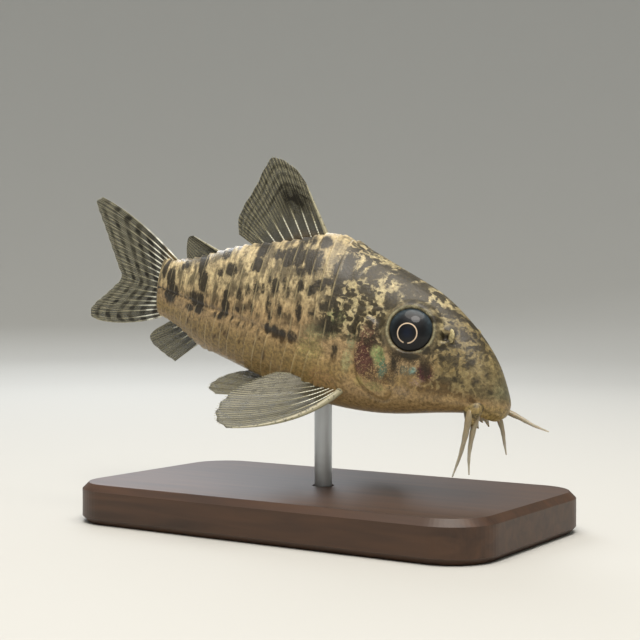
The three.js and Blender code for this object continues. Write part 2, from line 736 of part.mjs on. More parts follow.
// Colours of each kind of piece
const paint = (color, roughness) => new THREE.MeshStandardMaterial({ color, roughness, metalness: 0 });
const skin = paint(0x8a7758, 0.45);
const finSkin = paint(0xa39a7a, 0.4);
const eyeGlass = paint(0x10141c, 0.1);
const gillBronze = paint(0x6a4b44, 0.35);
const barbelSkin = paint(0xa58f78, 0.5);
const darkWood = paint(0x2b211b, 0.5);
const steel = new THREE.MeshStandardMaterial({ color: 0xb9bcc0, roughness: 0.3, metalness: 1 });

const materialFor = (name) => {
  if (name.startsWith('eye')) return eyeGlass;
  if (name.startsWith('gill')) return gillBronze;
  if (name.includes('barbel') || name === 'lower_lip') return barbelSkin;
  if (name.includes('fin')) return finSkin;
  return skin;
};

const catfish = new THREE.Group();
catfish.name = 'corydoras_catfish';
for (const [name, solid] of Object.entries(fish)) {
  const mesh = new THREE.Mesh(geometryOf(largest(solid), posed), materialFor(name));
  mesh.name = name;
  catfish.add(mesh);
}

// Stand: a chamfered base board with a socket, and one rod from the socket up to the belly
function roundedOutline(length, width, radius) {
  const shape = new THREE.Shape();
  const x = length / 2 - radius;
  const y = width / 2 - radius;
  shape.absarc(x, y, radius, 0, Math.PI / 2);
  shape.absarc(-x, y, radius, Math.PI / 2, Math.PI);
  shape.absarc(-x, -y, radius, Math.PI, Math.PI * 1.5);
  shape.absarc(x, -y, radius, Math.PI * 1.5, Math.PI * 2);
  return shape;
}

const chamfer = 0.8;
const board = new THREE.ExtrudeGeometry(
  roundedOutline(baseLength - 2 * chamfer, baseWidth - 2 * chamfer, baseCorner - chamfer),
  { depth: baseHeight - 2 * chamfer, bevelThickness: chamfer, bevelSize: chamfer, bevelSegments: 1, curveSegments: 8 },
);
board.translate(0, 0, chamfer);
const socket = new THREE.CylinderGeometry(rodDiameter / 2 + gap, rodDiameter / 2 + gap, socketDepth + 1, 24);
socket.rotateX(Math.PI / 2);
socket.translate(0, 0, baseHeight - socketDepth + (socketDepth + 1) / 2);

const rodFoot = baseHeight - socketDepth + gap;
const rodLength = rodTop + rodSink - rodFoot;
const rod = new THREE.CylinderGeometry(rodDiameter / 2, rodDiameter / 2, rodLength, 24);
rod.rotateX(Math.PI / 2);
rod.translate(0, 0, rodFoot + rodLength / 2);
const bodyInPlace = solidOf(geometryOf(bodyGrown, posed));

const asIs = (p) => p;
const stand = {
  stand_base: [solidOf(board).subtract(solidOf(socket)), darkWood],
  stand_rod: [solidOf(rod).subtract(bodyInPlace), steel],
};
for (const [name, [solid, material]] of Object.entries(stand)) {
  const mesh = new THREE.Mesh(geometryOf(largest(solid), asIs), material);
  mesh.name = name;
  catfish.add(mesh);
}

export default catfish;
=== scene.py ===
# A peppered corydoras catfish as a still, life-size display model, held on a plain stand by one rod.
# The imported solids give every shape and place, and the looks are built round them in the same frame.

import math

import bpy
import numpy as np
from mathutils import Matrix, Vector


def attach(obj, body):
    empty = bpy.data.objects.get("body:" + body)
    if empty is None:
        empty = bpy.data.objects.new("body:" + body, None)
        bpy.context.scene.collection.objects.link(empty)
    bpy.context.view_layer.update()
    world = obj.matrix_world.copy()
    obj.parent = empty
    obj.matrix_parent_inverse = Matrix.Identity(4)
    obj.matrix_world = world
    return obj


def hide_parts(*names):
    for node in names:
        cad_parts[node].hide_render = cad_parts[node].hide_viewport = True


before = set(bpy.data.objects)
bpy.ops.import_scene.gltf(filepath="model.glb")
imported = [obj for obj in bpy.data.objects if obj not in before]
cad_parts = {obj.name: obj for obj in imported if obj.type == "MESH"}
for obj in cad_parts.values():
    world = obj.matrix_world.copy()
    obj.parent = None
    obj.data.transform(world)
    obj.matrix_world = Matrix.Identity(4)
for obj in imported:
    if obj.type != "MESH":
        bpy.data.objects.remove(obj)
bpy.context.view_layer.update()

MM = 0.001               # the fish's own sizes are in millimetres, and every finished piece is in metres


# The camera: level with the fish, looking at its right side from a little ahead of it.
# Its place is measured from the middle of the stand's underside, in millimetres.
CAMERA_AT = (93.6, -143.5, 28.4)
CAMERA_AIM = (0.39, -1.33, 25.66)
CAMERA_LENS = 77.3

camera_data = bpy.data.cameras.new("camera")
camera_data.lens = CAMERA_LENS
camera_data.clip_start = 0.01
camera_data.clip_end = 10
camera = bpy.data.objects.new("camera", camera_data)
camera.location = MM * Vector(CAMERA_AT)
camera.rotation_euler = (Vector(CAMERA_AIM) - Vector(CAMERA_AT)).to_track_quat("-Z", "Y").to_euler()
bpy.context.scene.collection.objects.link(camera)
bpy.context.scene.camera = camera


def colour(code):
    """An sRGB hex colour as the linear colour that the shaders take."""
    parts = [int(code[i:i + 2], 16) / 255 for i in (1, 3, 5)]
    return [p / 12.92 if p <= 0.04045 else ((p + 0.055) / 1.055) ** 2.4 for p in parts] + [1.0]


def node(tree, kind, inputs=None, **settings):
    """A new node with its settings made, and its inputs set or linked to another node's output."""
    made = tree.nodes.new(kind)
    for name, value in settings.items():
        setattr(made, name, value)
    for socket, value in (inputs or {}).items():
        if isinstance(value, bpy.types.NodeSocket):
            tree.links.new(value, made.inputs[socket])
        else:
            made.inputs[socket].default_value = value
    return made


def bare_material(name):
    """A new material with nothing in it, and its node tree."""
    made = bpy.data.materials.new(name)
    made.use_nodes = True
    made.node_tree.nodes.clear()
    return made, made.node_tree


def piece(name, points, faces, materials):
    """A new object at the origin, whose mesh is already in its place in the frame."""
    mesh = bpy.data.meshes.new(name)
    mesh.from_pydata(np.asarray(points, float).reshape(-1, 3).tolist(), [], faces)
    mesh.shade_smooth()
    for material in materials:
        mesh.materials.append(material)
    made = bpy.data.objects.new(name, mesh)
    bpy.context.scene.collection.objects.link(made)
    return made


# The studio: a round white cove, flat under the stand and curving up all round to head height,
# painted matt, with one broad lamp overhead, a weaker one by the camera and one behind.
COVE_FLAT = 0.30
COVE_CURVE = 0.55
COVE_WALL = 0.35
COVE_SIDES = 128

profile = [(0.0, 0.0), (COVE_FLAT / 2, 0.0), (COVE_FLAT, 0.0)]
for step in range(1, 13):
    bend = math.pi / 2 * step / 12
    profile.append((COVE_FLAT + COVE_CURVE * math.sin(bend), COVE_CURVE * (1 - math.cos(bend))))
profile.append((COVE_FLAT + COVE_CURVE, COVE_CURVE + COVE_WALL))

cove_points = [(0.0, 0.0, 0.0)]
for radius, height in profile[1:]:
    for side in range(COVE_SIDES):
        turn = 2 * math.pi * side / COVE_SIDES
        cove_points.append((radius * math.cos(turn), radius * math.sin(turn), height))
cove_faces = [(0, 1 + side, 1 + (side + 1) % COVE_SIDES) for side in range(COVE_SIDES)]
for ring in range(len(profile) - 2):
    start = 1 + ring * COVE_SIDES
    for side in range(COVE_SIDES):
        after = (side + 1) % COVE_SIDES
        cove_faces.append((start + side, start + COVE_SIDES + side,
                           start + COVE_SIDES + after, start + after))

# Matt studio paint: pale, warm grey, with a trace of roller stipple
cove_paint, tree = bare_material("matt_studio_paint")
stipple = node(tree, "ShaderNodeTexNoise", {
    "Vector": node(tree, "ShaderNodeTexCoord").outputs["Object"],
    "Scale": 900.0,
})
surface = node(tree, "ShaderNodeBsdfPrincipled", {
    "Base Color": colour("#c3c2bd"),
    "Roughness": 0.9,
    "Specular IOR Level": 0.2,
    "Normal": node(tree, "ShaderNodeBump", {
        "Height": stipple.outputs[0],
        "Strength": 0.05,
        "Distance": 0.0002,
    }).outputs["Normal"],
})
node(tree, "ShaderNodeOutputMaterial", {"Surface": surface.outputs["BSDF"]})
cove = piece("studio_cove", cove_points, cove_faces, [cove_paint])

LAMPS = {
    "overhead_softbox": {"at": (0.05, -0.06, 0.34), "size": 0.34, "watts": 1.15, "tint": "#fff8ee"},
    "camera_side_softbox": {"at": (0.15, -0.22, 0.38), "size": 0.2, "watts": 0.8, "tint": "#fffaf4"},
    "back_softbox": {"at": (-0.22, 0.20, 0.22), "size": 0.22, "watts": 0.55, "tint": "#f2f7ff"},
}
LAMP_AIM = Vector((-0.005, 0.0, 0.024))
for name, lamp in LAMPS.items():
    light = bpy.data.lights.new(name, "AREA")
    light.shape = "DISK"
    light.size = lamp["size"]
    light.energy = lamp["watts"]
    light.color = colour(lamp["tint"])[:3]
    holder = bpy.data.objects.new(name, light)
    holder.location = lamp["at"]
    holder.rotation_euler = (LAMP_AIM - holder.location).to_track_quat("-Z", "Y").to_euler()
    bpy.context.scene.collection.objects.link(holder)

room = bpy.data.worlds.new("studio_room")
room.use_nodes = True
room.node_tree.nodes["Background"].inputs["Color"].default_value = colour("#eef2f4")
room.node_tree.nodes["Background"].inputs["Strength"].default_value = 0.68
bpy.context.scene.world = room
bpy.context.scene.view_settings.view_transform = "Standard"


# The skin: one unbroken hide from snout to tail root, drawn straight and level with the snout at
# x = 0 and the belly near z = 0. The head is bare bone under thin skin, and the flanks carry two
# rows of overlapping bony plates, each row's rear edges standing over the next plate.
LENGTH = 55.0            # snout to the root of the tail fin
DEPTH = 20.6             # belly to back at the dorsal fin
WIDTH = 13.8             # across the shoulders
QUARTER = math.pi / 2    # of a turn round the body: from the ridge to the side line


def line_through(points):
    """Smooth line through [behind the snout, value] points, steep where it leaves the snout."""
    backs, values = np.array(points, float).T
    u = np.sqrt(backs / LENGTH)
    slope = np.empty_like(values)
    slope[1:-1] = (values[2:] - values[:-2]) / (u[2:] - u[:-2])
    slope[0] = (values[1] - values[0]) / (u[1] - u[0])
    slope[-1] = (values[-1] - values[-2]) / (u[-1] - u[-2])

    def at(back):
        t = np.clip(np.sqrt(np.maximum(back, 0) / LENGTH), u[0], u[-1])
        i = np.clip(np.searchsorted(u, t) - 1, 0, len(u) - 2)
        wide = u[i + 1] - u[i]
        s = (t - u[i]) / wide
        rise = values[i + 1] - values[i]
        into = slope[i] * wide - rise
        out = rise - slope[i + 1] * wide
        return values[i] + s * rise + s * (1 - s) * (into * (1 - s) + out * s)

    return at


def shares_of(size, points):
    """The same, for points whose values are shares of a size."""
    return line_through([(back, share * size) for back, share in points])


back_line = shares_of(DEPTH, [
    (0, 0.228), (0.7, 0.315), (2.7, 0.482), (6.1, 0.64), (10.8, 0.776), (17, 0.885), (24, 0.992),
    (27, 1.008), (31.8, 0.936), (41, 0.828), (47.4, 0.717), (52.5, 0.652), (55, 0.65),
])
belly_line = shares_of(DEPTH, [
    (0, 0.228), (0.15, 0.18), (0.7, 0.152), (4.2, 0.15), (8, 0.115), (15.4, 0.035), (22, 0.012),
    (28.6, 0.032), (37.9, 0.1), (44.5, 0.153), (50.6, 0.257), (55, 0.292),
])
half_width_line = shares_of(WIDTH, [
    (0, 0), (0.7, 0.135), (2.7, 0.228), (6.1, 0.3), (10.6, 0.374), (16.9, 0.457), (24, 0.5),
    (32, 0.45), (41, 0.332), (47.2, 0.225), (55, 0.1),
])
widest_line = shares_of(DEPTH, [
    (0, 0.228), (2.7, 0.222), (10.6, 0.262), (17, 0.3), (24, 0.36), (32, 0.41), (55, 0.474),
])
upper_fullness = line_through([
    (0, 2), (3, 1.9), (7, 1.9), (11, 2.25), (17, 2.1), (25, 1.95), (40, 1.9), (55, 2),
])
lower_fullness = line_through([(0, 2), (3, 2.3), (7, 2.8), (25, 2.8), (34, 2.4), (44, 2.1), (55, 2)])


def smooth_step(value, low, high):
    """0 below low, 1 above high, and an even S between."""
    t = np.clip((value - low) / (high - low), 0, 1)
    return t * t * (3 - 2 * t)


def bump_at(distance, reach):
    """A round bump of height 1 that fades out about a reach away."""
    return np.exp(-(distance / reach) ** 2)


TAIL_ROUNDING = 2.2      # the body's end thins to the fin over this length
TAIL_END_SHARE = 0.3


def body_point(back, angle, grow=0.0):
    """A point of the body, by its distance behind the snout and its angle round from the ridge
    over the right side line to the belly and up the left, moved out along the section's normal."""
    side = np.where(angle <= math.pi, -1.0, 1.0)
    a = np.where(angle <= math.pi, angle, 2 * math.pi - angle)
    upper = a <= QUARTER
    power = 2 / np.where(upper, upper_fullness(back), lower_fullness(back))
    near_end = np.clip((back - LENGTH + TAIL_ROUNDING) / TAIL_ROUNDING, 0, 1)
    half = half_width_line(back) * (TAIL_END_SHARE + (1 - TAIL_END_SHARE) * np.sqrt(1 - near_end ** 2))
    middle = widest_line(back)
    reach = np.where(upper, back_line(back) - middle, middle - belly_line(back))
    s = np.abs(np.sin(a))
    c = np.abs(np.cos(a))
    out_y = s ** (2 - power) / np.maximum(half, 0.05)
    out_z = c ** (2 - power) / np.maximum(reach, 0.05)
    size = np.hypot(out_y, out_z)
    y = half * s ** power + grow * out_y / size
    z = reach * c ** power + grow * out_z / size
    return np.stack([-back + 0 * a, side * y, middle + np.where(upper, 1, -1) * z], -1)


def half_width_at(back, height):
    """Half the body's width at a height."""
    middle = widest_line(back)
    upper = height > middle
    reach = np.where(upper, back_line(back) - middle, middle - belly_line(back))
    fullness = np.where(upper, upper_fullness(back), lower_fullness(back))
    share = np.minimum(np.abs(height - middle) / reach, 1)
    return half_width_line(back) * (1 - share ** fullness) ** (1 / fullness)


def underside_at(back, off):
    """Height of the underside at a distance off the middle."""
    fullness = lower_fullness(back)
    share = np.minimum(np.abs(off) / half_width_line(back), 1)
    middle = widest_line(back)
    return middle - (middle - belly_line(back)) * (1 - share ** fullness) ** (1 / fullness)


# How the straight fish is bent at the tail, pitched nose down and set on the rod
BEND_START = 30.0
BEND_RADIUS = 150.0
PITCH = math.radians(9.8)
ROD_BEHIND_SNOUT = 25.0
ROD_TOP = 15.8           # where the belly rests over the rod, above the floor


def posed(points):
    """Points of the straight fish in millimetres, put in their place in the frame in metres."""
    x, y, z = np.moveaxis(np.asarray(points, float), -1, 0)
    turn = np.maximum(0, -x - BEND_START) / BEND_RADIUS
    bent_x = np.where(turn > 0, -BEND_START - (BEND_RADIUS - y) * np.sin(turn), x)
    bent_y = np.where(turn > 0, BEND_RADIUS - (BEND_RADIUS - y) * np.cos(turn), y)
    x = bent_x + ROD_BEHIND_SNOUT
    z = z - belly_line(ROD_BEHIND_SNOUT)
    across = x * math.cos(PITCH) + z * math.sin(PITCH)
    up = z * math.cos(PITCH) - x * math.sin(PITCH) + ROD_TOP
    return MM * np.stack([across, bent_y, up], -1)


# Plates: where each one's rear edge runs, and how it leans
PLATES = 22
PLATE_RISE = 0.3
FIRST_PLATE = 21.6
UPPER_SWEEP = 2.6        # how far an upper plate leans forward from the ridge to the side line
LOWER_SWEEP = 2.0        # how far a lower plate leans back from there to the belly
SIDE_GROOVE = 0.035      # half the width of the groove where the two rows meet, as an angle
BARE_BELLY = 2.6         # the lower plates end at this angle round


def plate_edge(number):
    """How far behind the snout a plate's rear edge lies, halfway down its row."""
    share = number / PLATES
    return FIRST_PLATE + (LENGTH - FIRST_PLATE - 0.4) * share * (1.12 - 0.12 * share) - UPPER_SWEEP / 2


def sweep_back(a):
    """How far back a plate's edge lies at an angle round the body, from its place on the side line."""
    upper = UPPER_SWEEP * (1 - np.sin(np.minimum(a, QUARTER)))
    lower = LOWER_SWEEP * np.sin(np.maximum(a - QUARTER, 0))
    return upper + lower


SNOUT_ROWS = 56
SNOUT_LENGTH = 4.0
HEAD_ROWS = 150
PLATE_STEPS = (0.02, 0.12, 0.26, 0.42, 0.58, 0.72, 0.84, 0.92, 0.97, 1.0)
END_ROWS = 10
COLUMNS = 57             # in each quarter turn
SWEEP_START = 12.0       # behind the snout, where rows begin to lean as the plates do
SWEEP_END = 7.0          # before the tail root, where the lean begins to ease off again

row_backs = list(SNOUT_LENGTH * np.linspace(0.02, 1, SNOUT_ROWS) ** 2)
row_backs += list(np.linspace(SNOUT_LENGTH, plate_edge(0), HEAD_ROWS)[1:-1])
row_plates = [-1.0] * len(row_backs)
for number in range(PLATES):
    for share in PLATE_STEPS:
        row_backs.append(plate_edge(number) + share * (plate_edge(number + 1) - plate_edge(number)))
        row_plates.append(number + share)
row_backs += list(np.linspace(plate_edge(PLATES), LENGTH, END_ROWS + 1)[1:])
row_plates += [-1.0] * END_ROWS
row_backs = np.array(row_backs)
row_plates = np.array(row_plates)

# Columns are spread evenly round the shoulders, with one on each side line
quarter_angles = []
for start in range(4):
    fine = QUARTER * (start + np.linspace(0, 1, 500))
    walk = body_point(np.full(500, 20.0), fine)
    walked = np.concatenate([[0], np.cumsum(np.linalg.norm(np.diff(walk, axis=0), axis=1))])
    quarter_angles.append(np.interp(np.linspace(0, walked[-1], COLUMNS, endpoint=False), walked, fine))
column_angles = np.concatenate(quarter_angles)

rows = len(row_backs)
columns = len(column_angles)
angle = np.broadcast_to(column_angles, (rows, columns))
round_angle = np.where(angle <= math.pi, angle, 2 * math.pi - angle)
lean = np.interp(row_backs, [SWEEP_START, plate_edge(0), plate_edge(3), LENGTH - SWEEP_END, LENGTH],
                 [0, 0.55, 1, 1, 0])
back = row_backs[:, None] + lean[:, None] * sweep_back(round_angle)
side = np.where(angle <= math.pi, -1.0, 1.0)
smooth_skin = body_point(back, angle)
height = smooth_skin[..., 2]

# Plates rise towards their rear edges, round over, and end in the grooves and on the bare belly
plate_number = np.maximum(row_plates, 0)[:, None]
plate_share = np.where(row_plates == np.floor(row_plates), 1, row_plates % 1)
plate_share = np.where(row_plates < 0, 0, plate_share)[:, None]
edge_round = np.interp(plate_share, [0, 0.92, 0.97, 1], [1, 1, 0.97, 0.8])
off_side_line = np.abs(round_angle - QUARTER)
on_plates = smooth_step(off_side_line, 0.25 * SIDE_GROOVE, 1.6 * SIDE_GROOVE)
on_plates = on_plates * smooth_step(round_angle, 0.01, 0.09)
belly_edge = BARE_BELLY + np.clip(back - 40, 0, 6) * 0.09
on_plates = on_plates * (1 - smooth_step(round_angle, belly_edge - 0.1, belly_edge + 0.04))
vary = 0.9 + 0.2 * np.abs(np.sin(np.floor(plate_number - 1e-6) * 2.4 + side))
relief = PLATE_RISE * vary * plate_share ** 1.2 * edge_round * on_plates
relief = relief - 0.03 * bump_at(off_side_line, 0.6 * SIDE_GROOVE) * smooth_step(back, 18, 24)


def distance_to(points, line, closed=False):
    """Distance of flat points to a line of straight runs, and with closed, below 0 outside it."""
    ends = np.roll(line, -1, axis=0) if closed else line[1:]
    starts = line if closed else line[:-1]
    least = np.full(points.shape[:-1], 1e9)
    inside = np.zeros(points.shape[:-1], bool)
    for a, b in zip(starts, ends):
        run = b - a
        along = np.clip(((points - a) @ run) / (run @ run), 0, 1)
        least = np.minimum(least, np.linalg.norm(points - a - along[..., None] * run, axis=-1))
        crosses = (a[1] > points[..., 1]) != (b[1] > points[..., 1])
        reach = a[0] + (points[..., 1] - a[1]) * run[0] / (run[1] if run[1] else 1e-9)
        inside ^= crosses & (points[..., 0] < reach)
    return np.where(inside, least, -least) if closed else least


def smooth_line(points, count, closed=False):
    """Evenly spaced points on a smooth line through a few."""
    points = np.array(points, float)
    if closed:
        around = np.concatenate([points[-1:], points, points[:2]])
    else:
        around = np.concatenate([points[:1], points, points[-1:]])
    t = np.linspace(0, 1, 24, endpoint=False)[:, None]
    dense = []
    for a, b, c, d in zip(around, around[1:], around[2:], around[3:]):
        into = (c - a) / 2
        out = (d - b) / 2
        dense.append((2 * b - 2 * c + into + out) * t ** 3 + (3 * c - 3 * b - 2 * into - out) * t ** 2
                     + into * t + b)
    last = points[:1] if closed else points[-1:]
    dense = np.concatenate(dense + [last])
    walked = np.concatenate([[0], np.cumsum(np.linalg.norm(np.diff(dense, axis=0), axis=1))])
    places = np.linspace(0, walked[-1], count, endpoint=not closed)
    return np.stack([np.interp(places, walked, axis) for axis in dense.T], -1)


# Gill covers: a raised bone on each cheek with a free, skin-fringed rear edge over a deep slit
GILL_RISE = 0.24
GILL_OUTLINE = [
    (15.7, 11.6), (17, 12.4), (18, 11.3), (18, 9.3), (17.5, 6.7), (16.6, 4.7), (15, 3.5), (13.4, 3.1),
    (12.9, 4.1), (14.2, 6.4), (15.1, 8.6), (15.4, 10.3),
]
on_side = np.stack([back, height], -1)
in_gill = distance_to(on_side, smooth_line(GILL_OUTLINE, 70, closed=True), closed=True)
behind_gill = smooth_step(back, 15.2, 17.0) + smooth_step(-height, -4.6, -3.6)
behind_gill = np.clip(behind_gill, 0, 1)
relief += GILL_RISE * smooth_step(in_gill, -0.1 - 0.5 * (1 - behind_gill), 0.35)
relief -= 0.24 * behind_gill * bump_at(in_gill + 0.2, 0.2)

# Shoulder bone behind the gill slit, a low swelling with its own rear edge
SHOULDER_OUTLINE = [(18.6, 12.6), (20.4, 11.6), (21.2, 9), (21, 6.4), (20, 4.6), (18.4, 4.2), (18.2, 8)]
in_shoulder = distance_to(on_side, smooth_line(SHOULDER_OUTLINE, 60, closed=True), closed=True)
relief += 0.1 * smooth_step(in_shoulder, -0.05, 0.3)

# Cheek and crown: shallow seams between the bones of the head
HEAD_SEAMS = [
    [(14.9, 12.6), (13.9, 9.6), (12.6, 6.4), (10.6, 4.6)],
    [(9.2, 5.0), (7.4, 6.4), (5.4, 6.9)],
    [(15.6, 13.9), (18.6, 13.4), (21.0, 14.6)],
    [(20.4, 14.6), (19.6, 17.2), (20.2, 18.6)],
]
for seam in HEAD_SEAMS:
    relief -= 0.04 * bump_at(distance_to(on_side, smooth_line(seam, 30)), 0.2)

# Mouth: an arched slit under the snout between two rolls of lip
MOUTH_BACK = 3.6
MOUTH_REACH = 2.3
MOUTH_HALF_WIDTH = 2.9


def lip_arch(inwards):
    """The mouth's arch seen from below, a distance inside the upper lip's."""
    turn = np.linspace(-QUARTER, QUARTER, 40)
    along = MOUTH_BACK - (MOUTH_REACH - inwards) * np.cos(turn)
    return np.stack([along, (MOUTH_HALF_WIDTH - 0.45 * inwards) * np.sin(turn)], -1)


from_below = np.stack([back, smooth_skin[..., 1]], -1)
under = smooth_step(round_angle, 1.9, 2.2) * (1 - smooth_step(back, 6, 8))
relief += 0.34 * under * bump_at(distance_to(from_below, lip_arch(0)), 0.42)
relief -= 0.42 * under * bump_at(distance_to(from_below, lip_arch(0.8)), 0.3)
relief += 0.36 * under * bump_at(distance_to(from_below, lip_arch(1.6)), 0.42)

# Nostrils: a pit on each side behind a standing flap
NOSTRIL = (7.9, 11.5)
from_nostril = np.hypot(back - NOSTRIL[0], height - NOSTRIL[1])
relief -= 0.55 * (1 - smooth_step(from_nostril, 0.15, 0.62))
relief += 0.10 * bump_at(from_nostril - 0.8, 0.22)

skin_points = body_point(back, angle, relief)

# Eye sockets: the skin dips under each eyeball and stands up round it in a soft rim
EYE_BACK = 11.9
EYE_HEIGHT = 11.4
EYE_RADIUS = 3.0
EYE_HALF_DEPTH = 2.0
EYE_PROUD = 0.9
EYE_FORWARD = math.radians(18)
EYE_UP = math.radians(15)
EYE_WINDOW = 2.5         # radius of the round window of eye that shows


def eye_frame(side):
    """An eyeball's middle, and its outward, forward and upward directions."""
    off = half_width_at(EYE_BACK, EYE_HEIGHT) + EYE_PROUD - EYE_HALF_DEPTH
    middle = np.array([-EYE_BACK, side * off, EYE_HEIGHT])
    out = np.array([
        math.sin(EYE_FORWARD) * math.cos(EYE_UP),
        side * math.cos(EYE_FORWARD) * math.cos(EYE_UP),
        math.sin(EYE_UP),
    ])
    up = np.array([0, 0, 1.0])
    up = up - (up @ out) * out
    up = up / np.linalg.norm(up)
    forward = np.cross(up, out) * side
    return middle, out, forward, up


eye_distance = np.full((rows, columns), 99.0)
for eye_side in (-1, 1):
    middle, out, forward, up = eye_frame(eye_side)
    local = skin_points - middle
    raised = local @ out
    radial = np.linalg.norm(local - raised[..., None] * out, axis=-1)
    mine = (side == eye_side) & (raised > -3)
    eye_distance = np.where(mine, np.minimum(eye_distance, radial), eye_distance)
    rim_height = EYE_HALF_DEPTH * math.sqrt(1 - (EYE_WINDOW / EYE_RADIUS) ** 2) + 0.22
    wanted = np.interp(radial, [0, 2.2, EYE_WINDOW - 0.02, EYE_WINDOW + 0.16, EYE_WINDOW + 0.34, 3.3],
                       [-0.9, 0.2, rim_height - 0.38, rim_height - 0.02, rim_height, rim_height - 0.12])
    take = np.where(mine, 1 - smooth_step(radial, 2.95, 3.9), 0)
    skin_points = skin_points + ((wanted - raised) * take)[..., None] * out

grid = np.arange(rows * columns).reshape(rows, columns)
after = np.roll(grid, -1, axis=1)
skin_faces = np.stack([grid[:-1], grid[1:], after[1:], after[:-1]], -1).reshape(-1, 4).tolist()
nose = rows * columns
end = nose + 1
skin_faces += [(nose, a, b) for a, b in zip(grid[0], after[0])]
skin_faces += [(end, b, a) for a, b in zip(grid[-1], after[-1])]
poles = np.array([[0, 0, widest_line(0)], [-LENGTH - 0.1, 0, widest_line(LENGTH)]])
flat_points = np.concatenate([skin_points.reshape(-1, 3), poles])


def paint_on(made, name, values, kind="FLOAT"):
    """Gives a piece's points a named value or colour for its material to read."""
    data = made.data.attributes.new(name, kind, "POINT").data
    field = {"FLOAT": "value", "FLOAT_VECTOR": "vector", "FLOAT_COLOR": "color"}[kind]
    data.foreach_set(field, np.ascontiguousarray(values, np.float32).ravel())


def with_poles(values):
    """The skin grid's values as a list, with the snout's and the tail's end points added."""
    flat = values.reshape(rows * columns, -1)
    return np.concatenate([flat, flat[:1], flat[-1:]])


# Markings. Each dark mark is a place behind the snout, a height, and half its length and height,
# listed for the fish's right side. The left side has the same, each shifted a little.
MARKS = [
    (53.8, 9.4, 0.5, 2.4), (52.9, 12.2, 0.5, 1.3), (50.9, 11.4, 0.9, 1.4), (50.0, 9.4, 1.5, 1.3),
    (48.8, 13.2, 0.8, 0.6), (43.8, 9.7, 1.7, 1.0), (45.4, 8.4, 0.8, 0.5), (43.0, 8.7, 0.9, 0.7),
    (44.9, 13.9, 0.9, 1.2), (43.4, 12.0, 1.0, 1.4), (46.3, 14.6, 0.8, 0.6), (41.4, 16.0, 0.9, 0.9),
    (38.8, 14.3, 1.2, 0.8), (40.7, 13.6, 0.6, 0.5), (38.2, 11.1, 0.6, 0.7), (37.9, 9.8, 0.8, 0.8),
    (39.9, 8.3, 0.5, 0.5), (38.6, 8.6, 0.5, 0.6), (37.7, 8.8, 0.4, 0.7), (35.4, 17.4, 1.2, 1.0),
    (34.9, 15.6, 1.0, 0.9), (37.2, 17.9, 0.8, 0.5), (32.4, 17.2, 0.7, 0.7), (31.2, 17.4, 0.8, 0.7),
    (29.0, 17.7, 1.7, 1.5), (30.3, 16.6, 1.0, 0.6), (29.6, 19.6, 2.2, 0.6), (26.2, 17.3, 1.5, 1.6),
    (27.5, 15.9, 0.8, 0.7), (26.2, 19.7, 1.0, 0.7), (30.6, 13.6, 0.7, 1.0), (31.8, 14.2, 0.3, 0.6),
    (29.2, 13.9, 0.35, 1.0), (28.3, 13.0, 0.3, 0.8), (33.6, 13.0, 0.5, 0.8), (32.4, 12.9, 0.3, 0.8),
    (34.7, 12.2, 0.5, 0.9), (36.1, 11.6, 0.5, 0.7), (30.8, 11.0, 0.45, 1.1), (30.3, 9.8, 0.4, 0.6),
    (28.9, 11.1, 0.45, 0.8), (26.8, 14.2, 0.7, 0.7), (25.2, 13.9, 0.6, 0.6), (24.2, 14.7, 0.8, 0.7),
    (26.1, 11.3, 0.45, 1.3), (24.2, 11.2, 0.5, 0.9), (33.3, 10.1, 0.35, 0.7), (34.3, 9.9, 0.3, 0.5),
    (35.7, 9.8, 0.3, 0.4), (36.5, 8.4, 0.3, 0.5), (35.3, 8.0, 0.3, 0.5), (34.1, 8.2, 0.3, 0.5),
    (33.0, 8.2, 0.25, 0.5), (31.7, 7.7, 0.3, 0.5), (30.3, 8.4, 0.6, 0.6), (29.0, 8.2, 0.7, 0.9),
    (27.9, 8.0, 0.6, 0.9), (26.5, 8.1, 0.8, 0.8), (22.1, 17.4, 1.2, 1.5), (23.3, 15.3, 0.8, 0.5),
    (18.3, 17.4, 1.0, 0.9), (18.6, 15.2, 0.9, 0.6), (20.4, 16.6, 1.0, 0.6), (15.0, 17.3, 1.1, 0.8),
    (13.4, 16.2, 1.4, 0.8), (14.8, 14.3, 0.8, 1.2), (12.8, 15.0, 0.9, 0.6), (21.7, 14.4, 0.7, 0.6),
    (22.4, 12.5, 0.9, 0.7), (18.1, 13.1, 0.5, 0.8), (20.0, 12.9, 0.5, 0.5), (21.3, 10.3, 1.1, 0.8),
    (20.2, 7.4, 0.4, 1.1), (15.2, 11.6, 0.5, 1.2), (11.0, 8.8, 1.3, 0.5), (12.7, 7.4, 0.35, 1.1),
    (13.2, 5.6, 0.4, 0.5), (9.3, 13.2, 0.8, 0.4), (7.6, 12.6, 0.5, 0.4), (6.9, 10.8, 0.6, 0.4),
    (10.6, 14.6, 1.0, 0.4), (8.3, 14.1, 0.7, 0.3), (5.9, 11.8, 0.5, 0.4), (4.3, 9.0, 0.5, 0.6),
    (7.4, 9.2, 0.7, 0.4), (5.2, 7.0, 0.6, 0.4), (3.2, 7.2, 0.4, 0.5), (3.1, 5.2, 0.4, 0.6),
    (9.3, 9.6, 0.7, 0.4), (6.0, 8.6, 0.5, 0.3), (2.2, 8.0, 0.3, 0.4), (1.6, 6.2, 0.3, 0.4),
]
SMALL_DASHES = 46        # rows of short dashes low on the flanks
dashes = np.random.default_rng(5)
for _ in range(SMALL_DASHES):
    at = dashes.uniform(30.5, 47.5)
    low = 4.3 + (at - 30.5) * 0.06
    MARKS.append((at, dashes.uniform(low, low + 2.6), dashes.uniform(0.1, 0.2), dashes.uniform(0.2, 0.42)))

